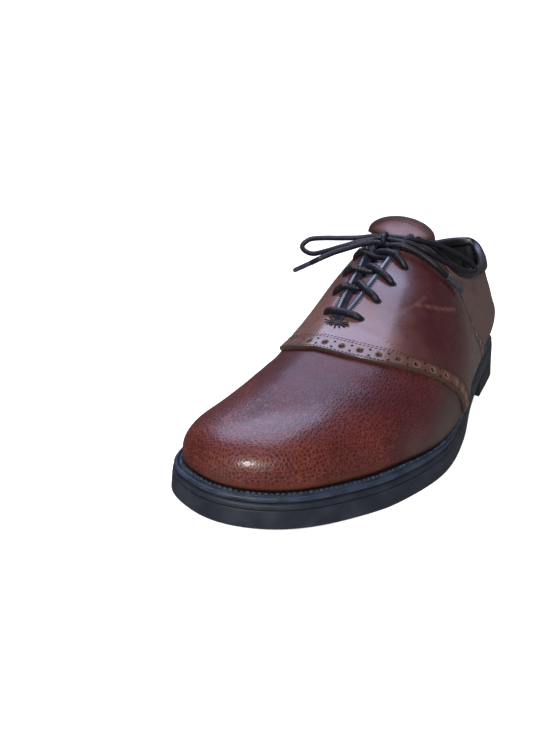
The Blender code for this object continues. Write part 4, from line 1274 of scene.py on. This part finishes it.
def makeSaddle():
    grids, joined = saddleHalves()
    faceGrids = [base + normal * saddle["face"] for base, normal in grids]
    lines = saddleLines(faceGrids, grids)
    holes = [evenly(*line, saddle["holePitch"]) for line in lines["holes"]]
    holePlaces = joinRows(holes)[0]
    verts, faces, folds, bands = [], [], [], []
    start = 0
    for (base, normal), side in zip(grids, (1, -1)):
        fromFront, fromRear, fromFoot, fromTop = edgeGaps(base)
        gap = np.minimum(np.minimum(fromFront, fromRear), np.where(joined[:, None], 1.0, fromTop))
        gap = np.minimum(gap, fromFoot + saddle["edgeRound"])
        f = np.clip(gap / saddle["edgeRound"], 0.0, 1.0)
        rounded = saddle["edgeShare"] + (1 - saddle["edgeShare"]) * np.sqrt(1 - (1 - f) ** 2)
        lift = saddle["under"] + (saddle["face"] - saddle["under"]) * rounded
        face = base + normal * lift[..., None]
        near = np.linalg.norm(face.reshape(-1, 1, 3) - holePlaces[None], axis=-1).min(axis=1)
        sunk = 1 - smoothStep(*saddle["holeLip"], near.reshape(lift.shape) / saddle["holeRadius"])
        lift = lift - saddle["holeDepth"] * sunk
        face = base + normal * lift[..., None]
        columns, rows = face.shape[:2]
        grid = gridFaces(columns, rows, start)
        faces += grid if side == 1 else [quad[::-1] for quad in grid]
        verts.append(face.reshape(-1, 3))
        folds.append(1 - smoothStep(0.55, 1.0, fromFront.ravel() / saddle["foldWidth"]))
        outside = smoothStep(0.90, 1.0, fromFront.ravel() / saddle["stitchLines"][1])
        bands.append(saddle["bandTint"] * (1 - outside))
        start += columns * rows
        border = [(i, 0) for i in range(columns)][::-1] + [(0, j) for j in range(rows)]
        border += [(i, rows - 1) for i in range(columns)] + [(columns - 1, j) for j in range(rows)][::-1]
        tuck = np.array([base[i, j] + normal[i, j] * saddle["under"] for i, j in border])
        index = [start - columns * rows + i * rows + j for i, j in border]
        skirt = skirtFaces(border, index, start, joined, rows - 1)
        faces += skirt if side == 1 else [quad[::-1] for quad in skirt]
        verts.append(tuck)
        folds.append(np.ones(len(tuck)))
        bands.append(np.zeros(len(tuck)))
        start += len(tuck)
    verts = np.concatenate(verts)
    paint = {
        "warmAndTongueSheen": spotPaint(verts, saddleWarm),
        "dusk": spotPaint(verts, saddleDusk),
        "scratch": scuffPaint(verts, saddleScuffs),
        "fold": np.concatenate(folds),
        "band": np.concatenate(bands),
    }
    piece = makePiece("saddle_leather", verts, faces, [finishes["saddle"]], paint=paint, weld=1e-6, sharp=60)
    seatPiece(piece, "saddle_leather", "saddle")
    trimSaddle(lines, holes)
    makeEyelets()


def joinRows(rows):
    return [np.concatenate(part) for part in zip(*rows)]


def trimSaddle(lines, holes):
    cup, pin = turnedShape("punchCup", cupProfile), turnedShape("punchPin", pinProfile, 12)
    punchRow("saddle_perforations", cup, *joinRows(holes), saddle["holeRadius"], finishes["hole"])
    pins = [evenly(*line, saddle["holePitch"], offset) for line in lines["holes"] for offset in (0.0, 1.0)]
    places, outs, aheads = joinRows(pins)
    aside = np.cross(outs, aheads) * saddle["pinSpread"]
    both = np.concatenate([places + aside, places - aside])
    outs, aheads = np.tile(outs, (2, 1)), np.tile(aheads, (2, 1))
    punchRow("saddle_pinholes", pin, both, outs, aheads, saddle["pinRadius"], finishes["hole"])
    sewRows("saddle_stitches", lines["stitches"], finishes["darkThread"], saddle["stitch"], "saddle_leather")
    for tool in (cup, pin):
        bpy.data.objects.remove(tool)


def saddleLines(faceGrids, grids):
    holes, stitches = [], []
    frontGaps = [edgeGaps(grid[0])[0] for grid in grids]
    rearGaps = [edgeGaps(grid[0])[1] for grid in grids]

    def frontLine(distance):
        outer, inner = (lineAt(frontGaps[k], faceGrids[k], grids[k][1], distance) for k in (0, 1))
        return np.concatenate([outer[0], inner[0][-2::-1]]), np.concatenate([outer[1], inner[1][-2::-1]])

    holes.append(frontLine(saddle["holeLine"]))
    for distance in saddle["stitchLines"]:
        stitches.append(frontLine(distance))
    for k in (0, 1):
        holes.append(lineAt(rearGaps[k], faceGrids[k], grids[k][1], saddle["holeLine"]))
        for distance in saddle["stitchLines"]:
            stitches.append(lineAt(rearGaps[k], faceGrids[k], grids[k][1], distance))
    return {"holes": holes, "stitches": stitches}


def makeEyelets():
    places, outs, aheads = [], [], []
    for side in (1, -1):
        for turn in lace["eyeletTurns"]:
            rise = lace["eyeletRise"] - lace["eyeletDrop"]
            places.append(offLast(side * turn, rise, saddle["face"] + 0.0001))
            outs.append(lastNormal(side * turn, rise))
            aheads.append(unit(lastPoint(side * turn, rise + 0.02) - lastPoint(side * turn, rise)))
    ring = turnedShape("eyeletRing", eyeletProfile, 20)
    places, outs, aheads = np.array(places), np.array(outs), np.array(aheads)
    punchRow("eyelet_holes", ring, places, outs, aheads, lace["eyeletRadius"], finishes["lining"])
    bpy.data.objects.remove(ring)


makeSaddle()
print("saddle made")


# Collar binding: folded over the top edge, deeper at the heel
def makeBinding():
    side = np.linspace(binding["turn"], rowCount, binding["columns"])
    turns = np.concatenate([side, 2 * rowCount - side[-2::-1]])
    tops = topLine(turns)
    normals = lastNormal(turns, last["nearTop"])
    downs = unit(lastPoint(turns, last["belowTop"]) - tops)
    tab = np.clip(1.0 - np.abs(turns - rowCount) / binding["tabTurns"], 0.0, 1.0)
    depth = binding["depth"] + binding["tabDepth"] * smoothStep(0.0, 0.35, tab)
    gap, leather, wall = binding["gap"], binding["leather"], upper["wall"]
    outAt, inAt = gap + leather, -wall - gap - leather
    radius = 0.5 * (outAt - inAt)
    arc = np.linspace(0.0, math.pi, 9)
    middle = 0.5 * (outAt + inAt)
    tall = binding["roll"] * radius
    # off the last, share of the depth, further down
    profile = [(0.05 * gap, 1.0, 0.0), (outAt - 0.0004, 1.0, 0.0), (outAt, 1.0, -0.0006)]
    profile += [(outAt + 0.00015, 0.5, 0.0)]
    profile += [(middle + radius * math.cos(t), 0.0, -tall * math.sin(t) - 0.0002) for t in arc]
    profile += [(inAt - 0.0001, 0.5, 0.0), (inAt, 1.0, -0.0006)]
    profile += [(inAt + 0.0004, 1.0, 0.0), (-wall - 0.05 * gap, 1.0, 0.0)]
    rows = len(profile)
    points = []
    for n, share, extra in profile:
        inner = n < -0.5 * wall
        drop = np.where(inner, binding["depth"], depth) * share + extra
        points.append(tops + normals * n + downs * drop[:, None])
    verts = np.stack(points, axis=1)
    faces = [face[::-1] for face in gridFaces(len(turns), rows)]
    piece = makePiece("collar_roll", verts, faces, [finishes["binding"]], weld=1e-7)
    faceOutward(piece)
    seatPiece(piece, "binding_leather", "collar_binding")
    up = binding["stitchUp"]
    lines = [(tops + normals * (outAt + 0.0002) + downs * (depth - up)[:, None], normals)]
    lines.append((tops + normals * (inAt - 0.0002) + downs * (binding["depth"] - up), -normals))
    for below in binding["liningSeams"]:
        rise = riseBelowTop(turns, below)
        lines.append((offLast(turns, rise, -wall - 0.0001), -lastNormal(turns, rise)))
    sewRows("collar_stitches", lines, finishes["blackThread"], binding["stitch"], "binding_leather")


makeBinding()
print("collar bound")

# Tongue: a curved strip under the throat, its end standing clear
tongue = {
    "footTurn": 4.25,
    "under": (0.0140, 0.0100, 0.0060, 0.0020),
    "taper": 0.40,
    "clearance": 0.0044,
    "topClearance": 0.0090,
    "crown": 0.06,
    "endOuter": (0.0030, 0.0430, 0.1112),
    "endInner": (-0.0310, 0.0326, 0.1140),
    "endRise": 0.0122,
    "endSteps": (0.25, 0.5, 0.75, 1.0),
    "flareCurve": 1.5,
    "flareOuter": (0.0027, 0.0000, -0.0017),
    "flareInner": (-0.0062, 0.0000, -0.0006),
    "leather": 0.0022,
    "along": 90,
    "across": 56,
    "edgeRound": 0.0007,
    "borderStitch": 0.0032,
    "stitchFrom": 0.62,
    "stitch": (0.0022, 0.0017, 0.0005, 0.0004),
}


def tongueRows():
    turns = np.concatenate([
        np.linspace(tongue["footTurn"], last["throatTurn"], 4),
        np.linspace(last["throatTurn"], last["facingTurn"], 8)[1:],
    ])
    rows = []
    for turn in turns:
        upward = (turn - tongue["footTurn"]) / (last["facingTurn"] - tongue["footTurn"])
        width = 1.0 + (tongue["taper"] - 1.0) * upward
        clearance = tongue["clearance"] + (tongue["topClearance"] - tongue["clearance"]) * upward**4
        sides = []
        for sideTurn in (turn, 2 * rowCount - turn):
            rises = [riseBelowTop(sideTurn, width * under) for under in tongue["under"]]
            sides.append([offLast(sideTurn, rise, -clearance) for rise in rises])
        outer, inner = sides
        crown = 0.5 * (outer[-1] + inner[-1])
        crown[2] += tongue["crown"] * np.linalg.norm(outer[-1] - inner[-1])
        rows.append(np.array(outer + [crown] + inner[::-1]))
    share = 0.5 - 0.5 * np.cos(np.linspace(0.0, math.pi, len(rows[-1])))[:, None]
    end = np.array(tongue["endOuter"]) * (1.0 - share) + np.array(tongue["endInner"]) * share
    end[:, 2:] += tongue["endRise"] * np.sqrt(1.0 - (2.0 * share - 1.0) ** 2)
    flare = np.array(tongue["flareOuter"]) * (1.0 - share) + np.array(tongue["flareInner"]) * share
    under = rows[-1]
    for part in tongue["endSteps"]:
        rows.append(under + (end - under) * part + flare * part ** tongue["flareCurve"])
    return np.array(rows)


def fineGrid(rows, along, across):
    def refine(values, count):
        knots = np.concatenate([[2 * values[0] - values[1]], values, [2 * values[-1] - values[-2]]])
        at = np.linspace(0.0, len(values) - 1.0, count)
        first = np.minimum(at.astype(int), len(values) - 2)
        f = (at - first).reshape(-1, *[1] * (values.ndim - 1))
        return blendCurve(*(knots[first + k] for k in range(4)), f)

    fine = refine(rows, along)
    return np.swapaxes(refine(np.swapaxes(fine, 0, 1), across), 0, 1)


def makeTongue():
    grid = fineGrid(tongueRows(), tongue["along"], tongue["across"])
    out = unit(np.cross(np.gradient(grid, axis=1), np.gradient(grid, axis=0)))
    if out[..., 2].mean() < 0:
        out = -out
    verts = grid.reshape(-1, 3)
    faces = gridFaces(tongue["along"], tongue["across"])
    first = verts[list(faces[0])]
    if np.cross(first[1] - first[0], first[2] - first[0]) @ out[0, 0] < 0:
        faces = [face[::-1] for face in faces]
    fromSide, fromOther, fromFoot, fromEnd = edgeGaps(np.swapaxes(grid, 0, 1))
    edge = np.minimum(np.minimum(fromSide, fromOther), fromEnd).T
    paint = {
        # the middle of the tongue takes the light tone as a painted sheen; the border stays darker
        "warmAndTongueSheen": smoothStep(0.4, 3.2, edge / tongue["borderStitch"]),
        "fold": 0.75 * (1 - smoothStep(0.7, 1.1, edge / tongue["borderStitch"])),
    }
    piece = makePiece("tongue_leather", verts, faces, [finishes["tongue"]], paint=paint)
    wall = piece.modifiers.new("wall", "SOLIDIFY")
    wall.thickness = tongue["leather"]
    wall.offset = -1
    soft = piece.modifiers.new("soft", "BEVEL")
    soft.width = tongue["edgeRound"]
    soft.segments = 3
    soft.limit_method = "ANGLE"
    soft.angle_limit = math.radians(50)
    seatPiece(piece, "tongue_leather", "tongue")
    # border stitching round the free end
    inset = max(2, round(tongue["borderStitch"] / np.linalg.norm(grid[-1, 1] - grid[-1, 0])))
    middle = tongue["across"] // 2
    down = max(2, round(tongue["borderStitch"] / np.linalg.norm(grid[-1, middle] - grid[-2, middle])))
    start = int(tongue["along"] * tongue["stitchFrom"])
    path = [(i, inset) for i in range(start, tongue["along"] - down)]
    path += [(tongue["along"] - 1 - down, j) for j in range(inset, tongue["across"] - inset)]
    path += [(i, tongue["across"] - 1 - inset) for i in reversed(range(start, tongue["along"] - down))]
    line = np.array([grid[i, j] + out[i, j] * 0.0001 for i, j in path])
    outs = np.array([out[i, j] for i, j in path])
    sewRows("tongue_stitches", [(line, outs)], finishes["darkThread"], tongue["stitch"], "tongue_leather")


makeTongue()
print("tongue made")

# Throat: folded edge strips with overcast stitches, and the tack at its foot
facing = {
    "width": 0.0020,
    "height": 0.0011,
    "columns": 90,
    "stitch": (0.0015, 0.0006, 0.0013, 0.0006),
    "tackAside": 0.0018,
    "tackReach": 0.0070,
    "tackPoints": 5,
    "tackStitch": (0.0009, 0.0024, 0.0009, 0.0009),
    # degrees round the tack, share of its reach
    "tackStrokes": (
        (4, 1.0), (28, 0.8), (70, 0.7), (112, 0.7), (150, 0.9), (176, 1.0),
        (200, 0.8), (232, 0.7), (262, 0.8), (300, 0.6), (338, 0.9),
    ),
}


def makeFacing():
    verts, faces, lines = [], [], []
    start = 0
    turns = np.linspace(last["throatTurn"] + 0.06, last["facingTurn"] - 0.02, facing["columns"])
    for side in (1, -1):
        top = lastPoint(side * turns, 1.0)
        normal = lastNormal(side * turns, last["nearTop"])
        down = unit(lastPoint(side * turns, last["belowTop"]) - top)
        profile = [(-0.0010, -0.0032), (-0.0014, 0.0006)]
        bow = np.linspace(0.0, 1.0, 7)
        for f in bow:
            height = facing["height"] * math.sin(math.pi * (0.22 + 0.72 * f)) - 0.0003
            profile.append((-0.0012 + f * (facing["width"] + 0.0012), saddle["face"] + height))
        profile.append((facing["width"] - 0.0001, saddle["face"] - 0.0006))
        profile.append((0.0004, -0.0026))
        rings = np.stack([top + down * d + normal * n for d, n in profile], axis=1)
        rings = np.concatenate([rings, rings[:, :1]], axis=1)
        columns, rows = rings.shape[:2]
        faces += gridFaces(columns, rows, start)
        faces += tubeCaps(start, columns, rows)
        verts.append(rings.reshape(-1, 3))
        start += columns * rows
        lines.append((top + down * (facing["width"] + 0.0004) + normal * (saddle["face"] + 0.0001), normal))
    piece = makePiece("facing_edges", np.concatenate(verts), faces, [finishes["facing"]], weld=1e-7, sharp=50)
    faceOutward(piece)
    seatPiece(piece, "binding_leather")
    sewRows("facing_stitches", lines, finishes["blackThread"], facing["stitch"], "binding_leather")


def makeTack():
    tack = []
    centre = lastPoint(last["throatTurn"] - 0.05, 1.0) + np.array((facing["tackAside"], 0.0, 0.0))
    up = lastNormal(last["throatTurn"] - 0.05, 1.0)
    ahead = unit(lastPoint(last["throatTurn"] + 0.1, 1.0) - centre)
    ahead = unit(ahead - up * (ahead @ up))
    across = np.cross(up, ahead)
    for angle, reach in facing["tackStrokes"]:
        way = math.cos(math.radians(angle)) * across + 0.6 * math.sin(math.radians(angle)) * ahead
        run = np.linspace(0.0, reach * facing["tackReach"], facing["tackPoints"])
        line = centre + up * (saddle["face"] + 0.0003) + np.outer(run, way)
        tack.append((line, np.tile(up, (facing["tackPoints"], 1))))
    sewRows("throat_tack", tack, finishes["blackThread"], facing["tackStitch"], "binding_leather", seed=3)


makeFacing()
makeTack()
print("throat edged")

# Sole: layers along one outline, heights above the ground line
sole = {
    "outsole": 0.0086,
    "midsole": 0.0026,
    "welt": 0.0026,
    "insole": 0.0030,
    "flare": 0.0024,
    "seatWidth": 0.0080,
    "columns": 300,
    "round": 0.0004,
    "heelBreastTurn": 8.0,
    "breastHollow": 0.0040,
    "hollowFade": 20.0,
    "heelColumns": 90,
    "heelAcross": 25,
    "stitchShare": 0.66,
    "stitch": (0.0026, 0.0023, 0.0015, 0.0012),
}


def soleRing(turns, inset, above):
    edge = soleEdge(turns) - outward(turns) * np.asarray(inset)[..., None]
    return np.concatenate([edge, (groundZ(edge[:, 1]) + above)[:, None]], axis=1)


def flareInset(turns, above):
    y = soleEdge(turns)[:, 1]
    return sole["flare"] * (groundZ(y) + above) / (groundZ(y) + last["soleStack"])


def rungFaces(columns, rows, level, flip):
    # Faces across the sole between the two ends of each rung; columns is even, closed
    half = columns // 2
    faces = []
    for i in range(half):
        a, b = i, i + 1
        c, d = (columns - b) % columns, (columns - a) % columns
        face = []
        for k in (a, b, c, d):
            if k * rows + level not in face:
                face.append(k * rows + level)
        faces.append(face[::-1] if flip else face)
    return faces


def layerPiece(name, profile, finish, slot, node):
    turns = np.linspace(0.0, 2 * rowCount, 2 * sole["columns"], endpoint=False)
    rings = np.stack([soleRing(turns, inset(turns), above) for inset, above in profile], axis=1)
    columns, rows = rings.shape[:2]
    base = np.arange(columns)[:, None] * rows + np.arange(rows - 1)[None, :]
    nextBase = np.roll(base, -1, axis=0)
    faces = np.stack([base, nextBase, nextBase + 1, base + 1], axis=-1).reshape(-1, 4).tolist()
    faces += rungFaces(columns, rows, 0, True) + rungFaces(columns, rows, rows - 1, False)
    return seatPiece(makePiece(name, rings, faces, [finish], sharp=45), slot, node)


def makeSole():
    r = sole["round"]
    lift = sole["outsole"] + last["seamGap"]
    weltLift = lift + sole["midsole"] + last["seamGap"]

    def at(above, extra=0.0):
        return (lambda turns: flareInset(turns, above) + extra), above

    layerPiece("outsole_rubber", [
        at(0.0, 2.0 * r), at(0.0, 1.2 * r), at(0.2 * r, 0.5 * r), at(0.6 * r, 0.12 * r), at(1.2 * r),
        at(0.3 * sole["outsole"]), at(0.6 * sole["outsole"]), at(sole["outsole"] - r),
        at(sole["outsole"] - 0.4 * r, 0.15 * r), at(sole["outsole"], 0.6 * r), at(sole["outsole"], 2.0 * r),
    ], finishes["outsole"], "outsole_rubber", "outsole")
    top = lift + sole["midsole"]
    layerPiece("midsole_rubber", [
        at(lift - 0.0002, 0.0018), at(lift - 0.0002, 0.0006), at(lift + 0.0002, 0.0002),
        at(lift + 0.5 * sole["midsole"], 0.0001), at(top - 0.0005, 0.0003),
        at(top + 0.0002, 0.0014), at(top + 0.0002, 0.0025),
    ], finishes["midsole"], "midsole_rubber", "midsole")
    steps = (0.0040, 0.0), (0.0034, 0.0003), (0.0034, 0.0022), (0.0040, 0.0029), (0.0060, sole["insole"])
    layerPiece("insole_board", [
        ((lambda turns, extra=extra: featherIn(turns) + extra), last["soleStack"] + last["seamGap"] + above)
        for extra, above in steps
    ], finishes["insole"], "insole_leather", "insole")
    makeWelt(weltLift)
    makeHeel()


def makeWelt(weltLift):
    turns = np.linspace(0.0, 2 * rowCount, 2 * sole["columns"] + 1)
    flare, thick = sole["flare"], sole["welt"]
    inner = featherIn(turns) + sole["seatWidth"]
    wide = featherIn(turns) - flare
    bow = np.linspace(-0.5 * math.pi, 0.5 * math.pi, 9)
    profile = [(0.24 * (1 - math.cos(t)), 0.5 * thick * (1 + math.sin(t))) for t in bow]
    # groove behind the lip, then the bed that the stitches lie on
    profile += [(0.34, thick - 0.0001), (0.40, thick - 0.0008), (0.46, thick - 0.0002)]
    profile += [(sole["stitchShare"], thick + 0.0002), (0.90, thick - 0.0001)]
    rings = [soleRing(turns, flare + 0.0003 + wide * share, weltLift + above) for share, above in profile]
    rings += [soleRing(turns, inner, weltLift + thick - 0.0001), soleRing(turns, inner, weltLift)]
    rings.append(rings[0])
    verts = np.stack(rings, axis=1)
    faces = gridFaces(len(turns), len(rings))
    piece = makePiece("welt_rubber", verts, faces, [finishes["welt"]], weld=1e-6, sharp=50)
    seatPiece(piece, "welt_rubber", "welt")
    inset = flare + 0.0003 + wide[:-1] * sole["stitchShare"]
    line = soleRing(turns[:-1], inset, weltLift + thick + 0.0002)
    outs = np.tile((0.0, 0.0, 1.0), (len(line), 1))
    thread, size = finishes["weltThread"], sole["stitch"]
    sewRows("welt_stitches", [(line, outs)], thread, size, "welt_rubber", True, 11, 0.3)


def makeHeel():
    r = 2 * sole["round"]
    turns = np.linspace(sole["heelBreastTurn"], rowCount, sole["heelColumns"])
    across = np.linspace(0.0, 1.0, sole["heelAcross"])[:, None]
    hollow = sole["breastHollow"] * (1 - (2 * across - 1) ** 2)
    under = -last["seamGap"]
    # inset, height, whether the height hangs from the outsole
    levels = [
        (1.6 * r, 0.0, False), (0.7 * r, 0.0, False), (0.15 * r, 0.25 * r, False), (0.0, 0.9 * r, False),
        (0.0, under - 0.0006, True), (0.0005, under, True),
    ]
    grid = []
    for i, turn in enumerate(turns):
        fade = max(0.0, 1.0 - i / sole["hollowFade"])
        rung = []
        for inset, height, hangs in levels:
            ends = []
            for sideTurn in (turn, 2 * rowCount - turn):
                extra = flareInset(np.array([sideTurn]), under)[0] if hangs else 0.0
                edge = soleEdge(sideTurn) - outward(sideTurn) * (inset + extra)
                z = groundZ(edge[1]) + height if hangs else height
                ends.append(np.array([edge[0], edge[1], z]))
            line = ends[0] + (ends[1] - ends[0]) * across
            line[:, 1:2] += hollow * fade
            rung.append(line)
        grid.append(rung)
    grid = np.array(grid)
    rungs, rows, steps = grid.shape[:3]

    def quad(corners):
        return [(i * rows + k) * steps + s for i, k, s in corners]

    faces = []
    for i in range(rungs - 1):
        for s in range(steps - 1):
            for k in (0, rows - 1):
                faces.append(quad([(i, k, s), (i, k, s + 1), (i + 1, k, s + 1), (i + 1, k, s)]))
        for k in range(rows - 1):
            for s in (0, steps - 1):
                faces.append(quad([(i, k, s), (i + 1, k, s), (i + 1, k + 1, s), (i, k + 1, s)]))
    for k in range(rows - 1):
        for s in range(steps - 1):
            faces.append(quad([(0, k, s), (0, k + 1, s), (0, k + 1, s + 1), (0, k, s + 1)]))
    piece = makePiece("heel_rubber", grid, faces, [finishes["heel"]], weld=1e-6, sharp=45)
    faceOutward(piece)
    seatPiece(piece, "heel_rubber", "heel")


makeSole()
print("sole made")

# Floor, sweep and soft light
studio = {
    "floorColour": (0.88, 0.86, 0.82),
    "floorGlow": 0.75,
    "floorReach": 6.0,
    "bendStart": 2.2,
    "bendRadius": 1.2,
    "wallRise": 2.6,
    "world": 0.12,
    "worldColour": (1.0, 0.96, 0.92),
    "skyBox": {
        "place": (-0.66, 0.43, 1.50), "aim": (-0.66, 0.43, 0.0), "size": (1.68, 0.95),
        "power": 30.0, "colour": (0.60, 0.66, 1.0),
    },
    "front": {
        "place": (0.9, -1.4, 1.0), "aim": (0.0, -0.02, 0.05), "size": (1.0, 1.0),
        "power": 7.0, "colour": (1.0, 0.95, 0.90),
    },
    "glint": {
        "place": (0.356, -1.03, 0.752), "aim": (0.0073, -0.1377, 0.0316), "size": (0.13, 0.13),
        "power": 8.0, "colour": (1.0, 1.0, 1.0),
    },
}


def makeStudio():
    glow = {"Emission Color": (1.0, 1.0, 1.0, 1.0), "Emission Strength": studio["floorGlow"]}
    finish, tree, shader = newFinish("paleFloor", Roughness=0.7, **glow)
    drift = cloud(tree, objectPlace(tree), 0.8, 2.0).outputs["Fac"]
    light = studio["floorColour"]
    setShader(tree, shader, colour=mixColour(tree, drift, tuple(0.985 * c for c in light), light))
    reach, start, radius = studio["floorReach"], studio["bendStart"], studio["bendRadius"]
    turn = math.radians(photoCamera["azimuth"])
    away = np.array((-math.sin(turn), math.cos(turn)))
    across = np.array((math.cos(turn), math.sin(turn)))
    bend = np.linspace(0.0, 0.5 * math.pi, 24)
    profile = [(-reach, 0.0), (start, 0.0)]
    profile += [(start + radius * math.sin(t), radius * (1 - math.cos(t))) for t in bend[1:]]
    profile.append((start + radius, radius + studio["wallRise"]))
    verts = [(*(away * d + across * s), z) for s in (-reach, reach) for d, z in profile]
    faces = [face[::-1] for face in gridFaces(2, len(profile))]
    floor = makePiece("studio_floor", verts, faces, [finish])
    floor.visible_glossy = False  # the leather keeps its own colour at its far edges
    for name in ("skyBox", "front", "glint"):
        look = studio[name]
        data = bpy.data.lights.new(name, "AREA")
        data.shape = "RECTANGLE"
        data.size, data.size_y = look["size"]
        data.energy = look["power"]
        data.color = look["colour"]
        lamp = intoScene(name, data)
        lamp.location = look["place"]
        toAim = Vector(look["aim"]) - Vector(look["place"])
        lamp.rotation_euler = toAim.to_track_quat("-Z", "Y").to_euler()
    world = bpy.data.worlds.new("studioWorld")
    world.use_nodes = True
    sky = world.node_tree.nodes["Background"].inputs
    sky["Color"].default_value = (*studio["worldColour"], 1.0)
    sky["Strength"].default_value = studio["world"]
    scene.world = world
    scene.view_settings.view_transform = "Standard"


makeStudio()
print("studio lit")
